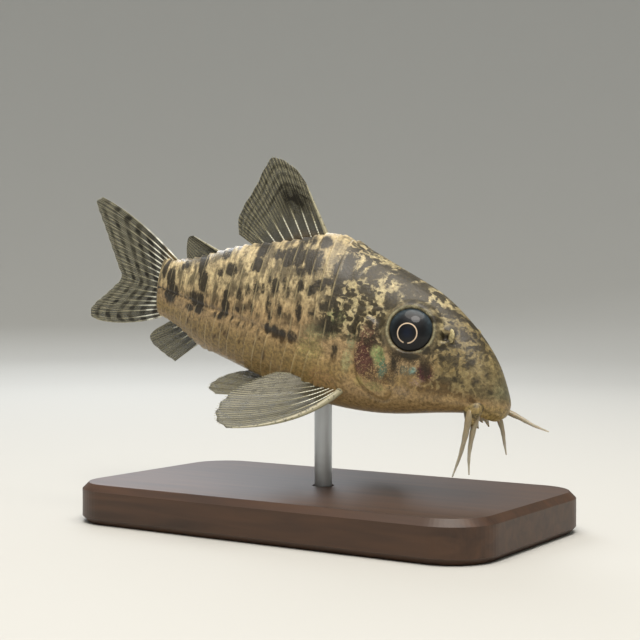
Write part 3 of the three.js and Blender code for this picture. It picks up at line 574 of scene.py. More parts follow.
MARK_LEAN = 0.25         # marks on the plates lean as the plates do, this much for each mm of height
shift = np.random.default_rng(11)
marks = np.full((rows, columns), -1.0)
for at, up, long, tall in MARKS:
    for which in (-1, 1):
        move = shift.uniform(-0.5, 0.5, 2) if which > 0 else (0, 0)
        tilt = MARK_LEAN * (height - up) * (at > 23) * np.sign(widest_line(at) - up)
        across = (back - at - move[0] + tilt) / long
        over = (height - up - move[1]) / tall
        softness = min(1, max(0.3, min(long, tall) / 0.8))
        field = (1.3 - across ** 2 - over ** 2) * softness * 1.2
        marks = np.maximum(marks, np.where(side == which, field, -1))
marks = np.clip(marks, -1, 1)

# Ground colours of the hide, from the back down to the belly and from the tail up to the snout
BACK_CREAM = "#c4b187"
FLANK_BUFF = "#aa9068"
LOW_FLANK = "#8f7746"
BELLY_TAN = "#9c835a"
BELLY_PALE = "#b5a584"
CROWN_CREAM = "#b9aa80"
SNOUT_OLIVE = "#84754f"
SNOUT_TIP = "#6d6a50"
CHEEK_TAN = "#a1875c"


def mixed(ground, code, amount):
    """A grid of colours with another mixed in by an amount at each point."""
    return ground + (np.array(colour(code)) - ground) * amount[..., None]


flank_share = (height - belly_line(back)) / (back_line(back) - belly_line(back))
ground = np.broadcast_to(colour(BACK_CREAM), (rows, columns, 4)).copy()
ground = mixed(ground, FLANK_BUFF, 1 - smooth_step(flank_share, 0.45, 0.72))
ground = mixed(ground, LOW_FLANK, 1 - smooth_step(flank_share, 0.22, 0.42))
ground = mixed(ground, BELLY_TAN, 1 - smooth_step(flank_share, 0.04, 0.2))
ground = mixed(ground, BELLY_PALE, (1 - smooth_step(flank_share, 0.0, 0.05)) * 0.8)
on_crown = (1 - smooth_step(back, 19, 25)) * smooth_step(height, 8.5, 11.5)
ground = mixed(ground, CROWN_CREAM, on_crown)
ground = mixed(ground, SNOUT_OLIVE, (1 - smooth_step(back, 6.5, 10.5)) * smooth_step(height, 4.6, 5.8))
ground = mixed(ground, SNOUT_TIP, 1 - smooth_step(back, 0.2, 2.2))
ground = mixed(ground, CHEEK_TAN, (1 - smooth_step(back, 18, 21)) * (1 - smooth_step(height, 4.4, 6.2)))

# Colour patches and painted sheens on cheek and shoulder: place, half sizes, colour, how strong, and how
# much it shines.
# The greens and teals are painted iridescent sheen, the pale teal spot under the eye is a painted glint,
# and the rest are maroon, brown and tan patches.
PATCHES_AND_SHEENS = [
    (16.3, 9.6, 1.0, 1.9, "#5a3a30", 0.9, 0.15), (16.1, 7.2, 1.2, 1.6, "#54302c", 0.9, 0.2),
    (14.4, 5.6, 1.0, 0.9, "#5c4630", 0.8, 0.1), (14.8, 8.5, 0.55, 0.6, "#aebb7c", 0.85, 0.5),
    (14.3, 7.7, 0.5, 0.7, "#6c8858", 0.8, 0.6), (13.8, 6.7, 0.4, 0.8, "#4a6f62", 0.75, 0.6),
    (14.4, 4.4, 1.1, 0.4, "#8c8656", 0.7, 0.4), (16.6, 4.6, 0.5, 0.5, "#a8a060", 0.7, 0.3),
    (18.3, 9.4, 0.5, 1.0, "#929a78", 0.7, 0.3), (18.5, 6.8, 0.5, 1.2, "#a3a376", 0.7, 0.3),
    (20.8, 11.6, 1.0, 0.7, "#74915a", 0.65, 0.4), (21.3, 9.9, 1.1, 0.9, "#5d6044", 0.8, 0.2),
    (23.2, 9.4, 1.2, 0.7, "#a5a67a", 0.7, 0.2), (23.6, 7.3, 1.6, 1.2, "#8c8350", 0.7, 0.1),
    # Painted glint: the pale teal spot just below the eye
    (10.3, 7.1, 0.32, 0.3, "#c2e4d2", 1.0, 0.6), (11.2, 7.0, 0.8, 0.5, "#465a54", 0.7, 0.4),
    (8.9, 7.2, 0.8, 0.9, "#4a2528", 1.0, 0.1), (9.8, 5.8, 0.7, 0.4, "#9a8278", 0.6, 0.2),
    (11.2, 4.6, 0.9, 0.5, "#94826c", 0.6, 0.1), (12.6, 7.0, 0.6, 1.9, "#453a2e", 0.7, 0.1),
    (11.4, 8.6, 1.6, 0.6, "#3d2f18", 0.8, 0.05), (6.6, 8.9, 2.0, 1.2, "#8c7440", 0.5, 0.05),
    (21.4, 3.8, 1.6, 1.2, "#a07a54", 0.6, 0.0), (17.5, 3.2, 1.4, 1.0, "#a98a64", 0.5, 0.0),
    (29.0, 3.6, 6.0, 1.4, "#a07c4e", 0.35, 0.0), (1.0, 3.9, 2.2, 0.7, "#8d7a44", 0.7, 0.0),
]
patch_and_sheen = ground.copy()
patch_and_sheen_amount = np.zeros((rows, columns))
shine = np.zeros((rows, columns))
for at, up, long, tall, code, strength, gloss in PATCHES_AND_SHEENS:
    nearness = 1 - ((back - at) / (1.35 * long)) ** 2 - ((height - up) / (1.35 * tall)) ** 2
    amount = smooth_step(nearness, -0.9, 0.8) * strength
    patch_and_sheen = mixed(patch_and_sheen, code, amount)
    patch_and_sheen_amount = np.maximum(patch_and_sheen_amount, amount)
    shine = np.maximum(shine, amount * gloss)
# Painted shade: a dark ring in the skin round each eye socket
painted_socket_shade = 1 - smooth_step(eye_distance, 2.95, 3.7)
ground = mixed(ground, "#332b1c", 0.85 * painted_socket_shade)
# Painted highlight: a thin pale line along each eye socket's rim
ground = mixed(ground, "#aba583", 0.75 * bump_at(eye_distance - 2.78, 0.13))
# Painted shade: the nostril pits darkened nearly to black
painted_nostril_shade = 1 - smooth_step(from_nostril, 0.25, 0.62)
ground = mixed(ground, "#17120c", painted_nostril_shade)
lip_area = (1 - smooth_step(height, 3.3, 4.3)) * (1 - smooth_step(back, 3.2, 4.6))
ground = mixed(ground, "#ab9558", 0.8 * lip_area)
ground[..., 3] = 1
patch_and_sheen[..., 3] = 1

# Where the crown's net of pale lines shows, and where the plates' pale rear edges do
on_net = (1 - smooth_step(back, 22, 26)) * smooth_step(height, 7.2, 10.2)
on_net = np.maximum(on_net, 0.85 * (1 - smooth_step(back, 9, 13)) * smooth_step(height, 3.6, 5.6))
on_net = on_net * (0.45 + 0.55 * smooth_step(back, 0.5, 5)) * (1 - painted_socket_shade)
on_streaks = smooth_step(flank_share, 0.34, 0.5) * smooth_step(back, 21, 26)
rims = smooth_step(plate_share, 0.86, 0.93) * on_plates
dark_ink = np.broadcast_to(colour("#1d1a15"), (rows, columns, 4)).copy()
dark_ink = mixed(dark_ink, "#2d2617", (1 - smooth_step(back, 18, 24)))
dark_ink = mixed(dark_ink, "#4a3416", 1 - smooth_step(flank_share, 0.3, 0.4))

# Peppered skin: thin wet hide over bone. The ground colour and the marks are painted on the
# mesh, and noise breaks the marks' edges; grain and freckles are finer than the mesh.
GRAIN_PER_MM = 2.6
FRECKLES_PER_MM = 1.5
NET_CELLS_PER_MM = 0.5

skin_hide, tree = bare_material("peppered_skin")
place = node(tree, "ShaderNodeAttribute", attribute_name="place").outputs["Vector"]
weave = node(tree, "ShaderNodeAttribute", attribute_name="weave").outputs["Vector"]
ground_paint = node(tree, "ShaderNodeAttribute", attribute_name="ground").outputs["Color"]
ink_paint = node(tree, "ShaderNodeAttribute", attribute_name="dark_ink").outputs["Color"]
mark_field = node(tree, "ShaderNodeAttribute", attribute_name="marks").outputs["Fac"]
net_field = node(tree, "ShaderNodeAttribute", attribute_name="on_net").outputs["Fac"]
rim_field = node(tree, "ShaderNodeAttribute", attribute_name="rims").outputs["Fac"]
shine_field = node(tree, "ShaderNodeAttribute", attribute_name="shine").outputs["Fac"]
streak_field = node(tree, "ShaderNodeAttribute", attribute_name="on_streaks").outputs["Fac"]
patch_and_sheen_paint = node(tree, "ShaderNodeAttribute", attribute_name="patch_and_sheen").outputs["Color"]
patch_and_sheen_field = node(tree, "ShaderNodeAttribute", attribute_name="patch_and_sheen_amount").outputs["Fac"]

coarse = node(tree, "ShaderNodeTexNoise", {"Vector": place, "Scale": 0.55, "Detail": 3.0}).outputs[0]
grain = node(tree, "ShaderNodeTexNoise", {
    "Vector": place, "Scale": GRAIN_PER_MM, "Detail": 5.0, "Roughness": 0.6,
}).outputs[0]
streaks = node(tree, "ShaderNodeTexNoise", {
    "Vector": weave, "Scale": 1.7, "Detail": 4.0, "Roughness": 0.6,
}).outputs[0]
fibre_place = node(tree, "ShaderNodeVectorMath", {0: weave, 1: (6.0, 1.6, 1.0)}, operation="MULTIPLY")
fibres = node(tree, "ShaderNodeTexNoise", {
    "Vector": fibre_place.outputs[0], "Scale": 1.0, "Detail": 3.0,
}).outputs[0]

# Dark marks: the painted field broken up by grain and streaks, soft at the edges
GRAIN_BREAK = 2.2
STREAK_BREAK = 3.3
breaking = node(tree, "ShaderNodeMath", {
    0: grain, 1: GRAIN_BREAK, 2: -0.5 * (GRAIN_BREAK + STREAK_BREAK),
}, operation="MULTIPLY_ADD").outputs[0]
breaking = node(tree, "ShaderNodeMath", {
    0: streaks, 1: STREAK_BREAK, 2: breaking,
}, operation="MULTIPLY_ADD").outputs[0]
marked = node(tree, "ShaderNodeMapRange", {
    "Value": node(tree, "ShaderNodeMath", {0: mark_field, 1: breaking}, operation="ADD").outputs[0],
    "From Min": -0.5, "From Max": 0.75, "To Max": 0.95,
}, interpolation_type="SMOOTHSTEP").outputs[0]

# Streaks: half-dark smudges that run down the plates between the marks
smudged = node(tree, "ShaderNodeMath", {
    0: coarse, 1: 0.6, 2: streaks,
}, operation="MULTIPLY_ADD").outputs[0]
smudged = node(tree, "ShaderNodeMapRange", {
    "Value": smudged, "From Min": 0.66, "From Max": 0.92, "To Max": 0.75,
}, interpolation_type="SMOOTHSTEP").outputs[0]
smudged = node(tree, "ShaderNodeMath", {0: smudged, 1: streak_field}, operation="MULTIPLY").outputs[0]

# The crown's net: dark cells between pale, broken lines
warp = node(tree, "ShaderNodeTexNoise", {"Vector": place, "Scale": 0.9, "Detail": 2.0}).outputs["Color"]
warp = node(tree, "ShaderNodeVectorMath", {0: warp, 1: (2.6, 2.6, 2.6)}, operation="MULTIPLY").outputs[0]
warped = node(tree, "ShaderNodeVectorMath", {0: place, 1: warp}, operation="ADD").outputs[0]
cells = node(tree, "ShaderNodeTexVoronoi", {
    "Vector": warped, "Scale": NET_CELLS_PER_MM, "Randomness": 1.0,
}, feature="DISTANCE_TO_EDGE").outputs["Distance"]
marbled = node(tree, "ShaderNodeTexNoise", {"Vector": warped, "Scale": 0.8, "Detail": 4.0}).outputs[0]
netted = node(tree, "ShaderNodeMath", {0: marbled, 1: 1.3, 2: cells}, operation="MULTIPLY_ADD").outputs[0]
netted = node(tree, "ShaderNodeMath", {0: grain, 1: 0.5, 2: netted}, operation="MULTIPLY_ADD").outputs[0]
netted = node(tree, "ShaderNodeMapRange", {
    "Value": netted, "From Min": 0.87, "From Max": 1.11, "To Max": 0.95,
}, interpolation_type="SMOOTHSTEP").outputs[0]
netted = node(tree, "ShaderNodeMath", {0: netted, 1: net_field}, operation="MULTIPLY").outputs[0]
unbroken = node(tree, "ShaderNodeMapRange", {
    "Value": coarse, "From Min": 0.18, "From Max": 0.4,
}, interpolation_type="SMOOTHSTEP").outputs[0]
netted = node(tree, "ShaderNodeMath", {0: netted, 1: unbroken}, operation="MULTIPLY").outputs[0]
all_dark = node(tree, "ShaderNodeMath", {0: smudged, 1: netted}, operation="MAXIMUM").outputs[0]
all_dark = node(tree, "ShaderNodeMath", {0: marked, 1: all_dark}, operation="MAXIMUM").outputs[0]

# Ground: its painted colour, lighter and darker with the grain, or on the plates with the fibres
fibre_share = node(tree, "ShaderNodeMath", {0: streak_field, 1: 0.45, 2: 0.05}, operation="MULTIPLY_ADD")
fibre_share = fibre_share.outputs[0]
fibre_excess = node(tree, "ShaderNodeMath", {0: fibres, 1: grain}, operation="SUBTRACT").outputs[0]
light_grain = node(tree, "ShaderNodeMath", {
    0: fibre_excess, 1: fibre_share, 2: grain,
}, operation="MULTIPLY_ADD").outputs[0]
light_grain = node(tree, "ShaderNodeMapRange", {
    "Value": light_grain, "From Min": 0.36, "From Max": 0.64, "To Min": 0.58, "To Max": 1.3,
}).outputs[0]
toned = node(tree, "ShaderNodeVectorMath", {0: ground_paint, 1: light_grain}, operation="MULTIPLY")
freckles = node(tree, "ShaderNodeTexVoronoi", {
    "Vector": place, "Scale": FRECKLES_PER_MM, "Randomness": 1.0,
}).outputs["Distance"]
freckled = node(tree, "ShaderNodeMapRange", {
    "Value": freckles, "From Min": 0.14, "From Max": 0.36, "To Min": 0.45, "To Max": 0.0,
}, interpolation_type="SMOOTHSTEP").outputs[0]
spotted = node(tree, "ShaderNodeMix", {
    0: freckled, 6: toned.outputs[0], 7: colour("#5c4628"),
}, data_type="RGBA").outputs[2]

# Colour patches and painted sheens on cheek and shoulder, in flecks
dust = node(tree, "ShaderNodeTexNoise", {
    "Vector": place, "Scale": 5.0, "Detail": 4.0, "Roughness": 0.7,
}).outputs[0]
flecks = node(tree, "ShaderNodeMath", {0: dust, 1: 4.0, 2: patch_and_sheen_field}, operation="MULTIPLY_ADD")
flecked = node(tree, "ShaderNodeMapRange", {
    "Value": flecks.outputs[0], "From Min": 2.3, "From Max": 2.8,
}, interpolation_type="SMOOTHSTEP").outputs[0]
patch_and_sheen_toned = node(tree, "ShaderNodeVectorMath", {0: patch_and_sheen_paint, 1: light_grain}, operation="MULTIPLY")
with_patches_and_sheens = node(tree, "ShaderNodeMix", {
    0: flecked, 6: spotted, 7: patch_and_sheen_toned.outputs[0],
}, data_type="RGBA").outputs[2]

# Ink over the patches and painted sheens, then the plates' pale rear edges over both
ink_toned = node(tree, "ShaderNodeVectorMath", {0: ink_paint, 1: light_grain}, operation="MULTIPLY")
inked = node(tree, "ShaderNodeMix", {
    0: all_dark, 6: with_patches_and_sheens, 7: ink_toned.outputs[0],
}, data_type="RGBA").outputs[2]
rim_amount = node(tree, "ShaderNodeMapRange", {
    "Value": streaks, "From Min": 0.4, "From Max": 0.62, "To Max": 0.38,
}, interpolation_type="SMOOTHSTEP").outputs[0]
rim_amount = node(tree, "ShaderNodeMath", {0: rim_field, 1: rim_amount}, operation="MULTIPLY").outputs[0]
rimmed = node(tree, "ShaderNodeMix", {
    0: rim_amount, 6: inked, 7: colour("#c9b88c"),
}, data_type="RGBA").outputs[2]
bump_from = node(tree, "ShaderNodeMath", {0: fibres, 1: streak_field, 2: grain}, operation="MULTIPLY_ADD")
bump_from = bump_from.outputs[0]
mirrored = node(tree, "ShaderNodeMath", {0: shine_field, 1: flecked}, operation="MULTIPLY").outputs[0]
fine_bump = node(tree, "ShaderNodeBump", {"Height": bump_from, "Strength": 0.5, "Distance": 0.14 * MM})
gloss = node(tree, "ShaderNodeMapRange", {
    "Value": grain, "From Min": 0.3, "From Max": 0.7, "To Min": 0.36, "To Max": 0.55,
})
surface = node(tree, "ShaderNodeBsdfPrincipled", {
    "Base Color": rimmed,
    "Metallic": mirrored,
    "Roughness": gloss.outputs[0],
    "IOR": 1.4,
    "Coat Weight": 0.15,
    "Coat Roughness": 0.2,
    "Subsurface Weight": 0.06,
    "Subsurface Radius": (0.6, 0.35, 0.2),
    "Subsurface Scale": MM,
    "Normal": fine_bump.outputs["Normal"],
})
node(tree, "ShaderNodeOutputMaterial", {"Surface": surface.outputs["BSDF"]})

skin = piece("skin", posed(flat_points), skin_faces, [skin_hide])
paint_on(skin, "place", with_poles(smooth_skin), "FLOAT_VECTOR")
plate_run = np.where(row_plates[:, None] < 0, back / 1.5, plate_number + 0 * back)
run_down = height * (0.66 - 0.34 * smooth_step(back, 19, 25))
paint_on(skin, "weave", with_poles(np.stack([plate_run, run_down, side + 0 * back], -1)), "FLOAT_VECTOR")
paint_on(skin, "ground", with_poles(ground), "FLOAT_COLOR")
paint_on(skin, "dark_ink", with_poles(dark_ink), "FLOAT_COLOR")
paint_on(skin, "marks", with_poles(marks))
paint_on(skin, "on_net", with_poles(on_net))
paint_on(skin, "rims", with_poles(rims))
paint_on(skin, "shine", with_poles(shine))
paint_on(skin, "on_streaks", with_poles(on_streaks))
paint_on(skin, "patch_and_sheen", with_poles(patch_and_sheen), "FLOAT_COLOR")
paint_on(skin, "patch_and_sheen_amount", with_poles(patch_and_sheen_amount))
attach(skin, "root")
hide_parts("head", "trunk", "tail", "gill_cover_right", "gill_cover_left", "lower_lip")


# Eyes: one flattened glass ball sunk in each socket, blue-black under a clear, wet coat, with a
# thin ring of pale gold round the pupil that is broken at the bottom.
RING_RADIUS = 1.14
RING_HALF_WIDTH = 0.065
RING_GAP = math.radians(20)
PUPIL_AT = (0.2, -0.56)  # ahead of and below the middle of the eye, as it faces outwards


def facing_out(points, faces):
    """The faces of a closed surface, all turned round if they look inwards."""
    corners = [(face[0], face[i], face[i + 1]) for face in faces for i in range(1, len(face) - 1)]
    a, b, c = np.asarray(points)[np.array(corners)].transpose(1, 0, 2)
    if np.sum(a * np.cross(b, c)) < 0:
        return [face[::-1] for face in faces]
    return faces


def dome(middle, out, forward, up, radius, depth, rings, sides):
    """A ball flattened along its outward direction, as rings from its front to its back."""
    points = [middle + depth * out]
    for ring in range(1, rings):
        turn = math.pi * ring / rings
        for step in range(sides):
            spin = 2 * math.pi * step / sides
            spoke = math.cos(spin) * forward + math.sin(spin) * up
            points.append(middle + depth * math.cos(turn) * out + radius * math.sin(turn) * spoke)
    points.append(middle - depth * out)
    faces = [(0, 1 + step, 1 + (step + 1) % sides) for step in range(sides)]
    for ring in range(rings - 2):
        low = 1 + ring * sides
        for step in range(sides):
            nxt = (step + 1) % sides
            faces.append((low + step, low + sides + step, low + sides + nxt, low + nxt))
    last = 1 + (rings - 2) * sides
    faces += [(len(points) - 1, last + (step + 1) % sides, last + step) for step in range(sides)]
    return np.array(points), facing_out(points, faces)


# Eye: blue-black glass with a painted slate reflection towards its upper rim, a pale gold ring, and a
# clear coat over all
eye_glass, tree = bare_material("blue_black_eye")
iris_place = node(tree, "ShaderNodeAttribute", attribute_name="iris").outputs["Vector"]
across_iris, up_iris, round_iris = node(tree, "ShaderNodeSeparateXYZ", {0: iris_place}).outputs
pupil_across = node(tree, "ShaderNodeMath", {
    0: across_iris, 1: PUPIL_AT[0],
}, operation="SUBTRACT").outputs[0]
pupil_down = node(tree, "ShaderNodeMath", {0: PUPIL_AT[1], 1: up_iris}, operation="SUBTRACT").outputs[0]
from_pupil = node(tree, "ShaderNodeCombineXYZ", {"X": pupil_across, "Y": pupil_down}).outputs[0]
from_pupil = node(tree, "ShaderNodeVectorMath", {0: from_pupil}, operation="LENGTH").outputs["Value"]
off_ring = node(tree, "ShaderNodeMath", {0: from_pupil, 1: RING_RADIUS}, operation="SUBTRACT").outputs[0]
off_ring = node(tree, "ShaderNodeMath", {0: off_ring}, operation="ABSOLUTE").outputs[0]
on_ring = node(tree, "ShaderNodeMapRange", {
    "Value": off_ring, "From Min": RING_HALF_WIDTH * 0.6, "From Max": RING_HALF_WIDTH * 1.4,
    "To Min": 1.0, "To Max": 0.0,
}, interpolation_type="SMOOTHSTEP").outputs[0]
ring_turn = node(tree, "ShaderNodeMath", {0: pupil_across, 1: pupil_down}, operation="ARCTAN2").outputs[0]
ring_turn = node(tree, "ShaderNodeMath", {0: ring_turn}, operation="ABSOLUTE").outputs[0]
off_gap = node(tree, "ShaderNodeMapRange", {
    "Value": ring_turn, "From Min": RING_GAP * 0.4, "From Max": RING_GAP * 0.8,
}, interpolation_type="SMOOTHSTEP").outputs[0]
on_ring = node(tree, "ShaderNodeMath", {0: on_ring, 1: off_gap}, operation="MULTIPLY").outputs[0]
iris_grain = node(tree, "ShaderNodeTexNoise", {
    "Vector": iris_place, "Scale": 2.2, "Detail": 4.0,
}).outputs[0]
# Painted reflection: a slate haze over the eye's upper rim, broken up by noise
near_rim = node(tree, "ShaderNodeMapRange", {
    "Value": round_iris, "From Min": 1.45, "From Max": 2.75,
}, interpolation_type="SMOOTHSTEP").outputs[0]
near_top = node(tree, "ShaderNodeMapRange", {
    "Value": up_iris, "From Min": -1.6, "From Max": 2.2,
}, interpolation_type="SMOOTHSTEP").outputs[0]
painted_reflection = node(tree, "ShaderNodeMath", {0: near_rim, 1: near_top}, operation="MULTIPLY").outputs[0]
cloud = node(tree, "ShaderNodeMath", {0: iris_grain, 1: 1.5}, operation="MULTIPLY").outputs[0]
painted_reflection = node(tree, "ShaderNodeMath", {0: painted_reflection, 1: cloud}, operation="MULTIPLY", use_clamp=True).outputs[0]
navy = node(tree, "ShaderNodeMapRange", {
    "Value": from_pupil, "From Min": 0.1, "From Max": 1.0, "To Min": 1.0, "To Max": 0.0,
}, interpolation_type="SMOOTHSTEP").outputs[0]
dark_eye = node(tree, "ShaderNodeMix", {
    0: navy, 6: colour("#040509"), 7: colour("#0b1426"),
}, data_type="RGBA").outputs[2]
with_painted_reflection = node(tree, "ShaderNodeMix", {
    0: painted_reflection, 6: dark_eye, 7: colour("#414f57"),
}, data_type="RGBA").outputs[2]
ringed = node(tree, "ShaderNodeMix", {
    0: on_ring, 6: with_painted_reflection, 7: colour("#d6bfa4"),
}, data_type="RGBA").outputs[2]
surface = node(tree, "ShaderNodeBsdfPrincipled", {
    "Base Color": ringed,
    "Roughness": 0.5,
    "Specular IOR Level": 0.2,
    "Coat Weight": 1.0,
    "Coat Roughness": 0.03,
    "Coat IOR": 1.28,
})
node(tree, "ShaderNodeOutputMaterial", {"Surface": surface.outputs["BSDF"]})

for eye_side, side_name in ((-1, "right"), (1, "left")):
    middle, out, forward, up = eye_frame(eye_side)
    eye_points, eye_faces = dome(middle, out, forward, up, EYE_RADIUS, EYE_HALF_DEPTH, 48, 96)
    eye = piece("eyeball_" + side_name, posed(eye_points), eye_faces, [eye_glass])
    local = eye_points - middle
    iris_across = local @ forward
    iris_up = local @ up
    iris = np.stack([iris_across, iris_up, np.hypot(iris_across, iris_up)], -1)
    paint_on(eye, "iris", iris, "FLOAT_VECTOR")
    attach(eye, "root")
    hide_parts("eye_" + side_name)


# Nostril flaps: a leaf of thin skin that stands up in front of each nostril. Each is a flat, bent
# tube of the snout's own skin, thickest in its middle.
FLAP_BACK = 7.15
FLAP_HEIGHT = 11.6
FLAP_RADIUS = 0.42
FLAP_THINNESS = 0.4
FLAP_STEPS = 16


def tube(path, radii, sides, flat=1.0, flat_way=None):
    """A closed round tube along a path, with rounded ends; flat squeezes it across flat_way."""
    path = np.asarray(path, float)
    radii = np.broadcast_to(radii, len(path))
    tangents = np.gradient(path, axis=0)
    tangents /= np.linalg.norm(tangents, axis=1)[:, None]
    normal = np.cross(tangents[0], flat_way if flat_way is not None else [0.3, 0.5, 0.8])
    rings = []
    for place_on, tangent, radius in zip(path, tangents, radii):
        normal = normal - (normal @ tangent) * tangent
        normal = normal / np.linalg.norm(normal)
        other = np.cross(tangent, normal)
        spin = 2 * math.pi * np.arange(sides)[:, None] / sides
        rings.append(place_on + radius * (np.cos(spin) * normal + flat * np.sin(spin) * other))
    points = np.concatenate([path[:1] - tangents[:1] * radii[0] * 0.4] + rings
                            + [path[-1:] + tangents[-1:] * radii[-1] * 0.4])
    at = 1 + np.arange(len(path) * sides).reshape(len(path), sides)
    nxt = np.roll(at, -1, axis=1)
    faces = np.stack([at[:-1], nxt[:-1], nxt[1:], at[1:]], -1).reshape(-1, 4).tolist()
    faces += [(0, b, a) for a, b in zip(at[0], nxt[0])]
    faces += [(len(points) - 1, a, b) for a, b in zip(at[-1], nxt[-1])]
    return points, faces


def joined(parts):
    """Several meshes' points and faces as one."""
    points, faces = [], []
    for more, more_faces in parts:
        start = sum(len(p) for p in points)
        points.append(np.asarray(more))
        faces += [tuple(start + i for i in face) for face in more_faces]
    return np.concatenate(points), faces


flap_parts = []
for nose_side in (-1, 1):
    base = np.array([-FLAP_BACK, nose_side * half_width_at(FLAP_BACK, FLAP_HEIGHT), FLAP_HEIGHT])
    outward = np.array([0.1, nose_side * 0.9, 0.45])
    flap_path = smooth_line([
        base + [-0.25, 0, -0.75], base + [0.12, 0, -0.3] + 0.35 * outward,
        base + [0.15, 0, 0.3] + 0.42 * outward, base + [-0.2, 0, 0.8] + 0.1 * outward,
    ], FLAP_STEPS)
    flap_radii = FLAP_RADIUS * np.sin(np.linspace(0.25, 2.9, FLAP_STEPS)) + 0.05
    flap_parts.append(tube(flap_path, flap_radii, 12, FLAP_THINNESS, outward))
flap_points, flap_faces = joined(flap_parts)
flaps = piece("nostril_flaps", posed(flap_points), flap_faces, [skin_hide])
paint_on(flaps, "place", flap_points, "FLOAT_VECTOR")
paint_on(flaps, "weave", flap_points, "FLOAT_VECTOR")
paint_on(flaps, "ground", np.tile(colour("#b8ab80"), (len(flap_points), 1)), "FLOAT_COLOR")
paint_on(flaps, "dark_ink", np.tile(colour("#5a5238"), (len(flap_points), 1)), "FLOAT_COLOR")
paint_on(flaps, "marks", np.full(len(flap_points), -1.0))
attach(flaps, "root")


# Barbels: two soft feelers at each corner of the mouth, thick at the root, pale and a little
# clear. Each is a round tube along a smooth line through a few places measured from the corner.
CORNER = (-3.5, 3.05, 4.0)
BARBEL_RADII = (0.6, 0.5, 0.38, 0.27, 0.18, 0.07)
BARBEL_STEPS = 60
BARBEL_SIDES = 16
BARBELS = {
    "outer_barbel_right": (-1, [
        (0.3, -0.4, 0.4), (0.5, 0.5, -0.9), (0.5, 0.8, -3.2), (0.3, 0.9, -5.4), (-0.2, 1, -8),
    ]),
    "inner_barbel_right": (-1, [
        (0.9, -0.6, 0.2), (1, -0.1, -1.3), (1, 0.1, -3.4), (1.1, 0.2, -5.4), (1.5, 0.3, -7.4),
    ]),
    "outer_barbel_left": (1, [
        (0.2, -0.4, 0.2), (1.4, 0.7, -0.4), (3.2, 1.1, -0.9), (4.9, 1.3, -1.4), (6.9, 1.6, -1.8),
    ]),
    "inner_barbel_left": (1, [
        (0.9, -0.6, 0.2), (1.2, -0.2, -1.2), (1.8, 0, -2.6), (2.3, 0, -4), (2.7, 0.2, -5.4),
    ]),
}

# Barbel skin: soft, unevenly brown at the root, and paler and a little see-through at the tip
barbel_soft, tree = bare_material("soft_barbel_skin")
along = node(tree, "ShaderNodeAttribute", attribute_name="place").outputs["Vector"]
blush = node(tree, "ShaderNodeTexNoise", {"Vector": along, "Scale": 1.6, "Detail": 4.0})
to_tip = node(tree, "ShaderNodeAttribute", attribute_name="to_tip").outputs["Fac"]
blush_mix = node(tree, "ShaderNodeMix", {
    0: blush.outputs[0], 6: colour("#8f7a50"), 7: colour("#685534"),
}, data_type="RGBA").outputs[2]
barbel_mix = node(tree, "ShaderNodeMix", {0: to_tip, 6: blush_mix, 7: colour("#b3ab92")}, data_type="RGBA")
clearing = node(tree, "ShaderNodeMapRange", {
    "Value": to_tip, "From Min": 0.3, "To Min": 1.0, "To Max": 0.6,
})
surface = node(tree, "ShaderNodeBsdfPrincipled", {
    "Base Color": barbel_mix.outputs[2],
    "Alpha": clearing.outputs[0],
    "Roughness": 0.38,
    "Subsurface Weight": 0.35,
    "Subsurface Radius": (0.8, 0.5, 0.3),
    "Subsurface Scale": MM,
    "Coat Weight": 0.3,
    "Coat Roughness": 0.15,
})
node(tree, "ShaderNodeOutputMaterial", {"Surface": surface.outputs["BSDF"]})

for name, (which, offsets) in BARBELS.items():
    root = (offsets[0][0] - 0.3, offsets[0][1] - 0.8, offsets[0][2] + 1.3)
    knots = [(CORNER[0] + x, which * (CORNER[1] + y), CORNER[2] + z) for x, y, z in [root] + offsets]
    path = smooth_line(knots, BARBEL_STEPS)
    radii = np.interp(np.linspace(0, 5, BARBEL_STEPS), range(6), BARBEL_RADII)
    wave = 1 + 0.05 * np.sin(np.linspace(0, 40, BARBEL_STEPS))
    points, faces = tube(path, radii * wave, BARBEL_SIDES)
    barbel = piece(name + "_soft", posed(points), faces, [barbel_soft])
    paint_on(barbel, "place", points, "FLOAT_VECTOR")
    ring_shares = np.repeat(np.linspace(0, 1, BARBEL_STEPS), BARBEL_SIDES)
    paint_on(barbel, "to_tip", np.concatenate([[0], ring_shares, [1]]))
    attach(barbel, "root")
    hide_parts(name)


# Corners of the mouth: a soft lobe on each side, of the snout's own mottled skin, that carries the
# upper lip down to the place from which both barbels hang. Each is a flattened tube.
LOBE = [(-3.4, 0.8, 6.2), (-3.2, 1.85, 5.0), (-3.0, 2.9, 3.8), (-2.9, 3.45, 2.3)]
LOBE_RADII = (1.2, 1.55, 1.2, 0.5)
LOBE_THINNESS = 0.62
lobes = []
for which in (-1, 1):
    path = smooth_line([(x, which * y, z) for x, y, z in LOBE], 30)
    radii = np.interp(np.linspace(0, 3, 30), range(4), LOBE_RADII)
    lobes.append(tube(path, radii, 24, LOBE_THINNESS, np.array([0, 1, 0])))
points, faces = joined(lobes)
mouth_corners = piece("mouth_corners", posed(points), faces, [skin_hide])
paint_on(mouth_corners, "place", points, "FLOAT_VECTOR")
paint_on(mouth_corners, "weave", points / 1.5, "FLOAT_VECTOR")
paint_on(mouth_corners, "ground", np.tile(colour("#8a774b"), (len(points), 1)), "FLOAT_COLOR")
paint_on(mouth_corners, "dark_ink", np.tile(colour("#2d2617"), (len(points), 1)), "FLOAT_COLOR")
paint_on(mouth_corners, "marks", np.full(len(points), -1.0))
paint_on(mouth_corners, "on_net", np.full(len(points), 0.85))
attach(mouth_corners, "root")


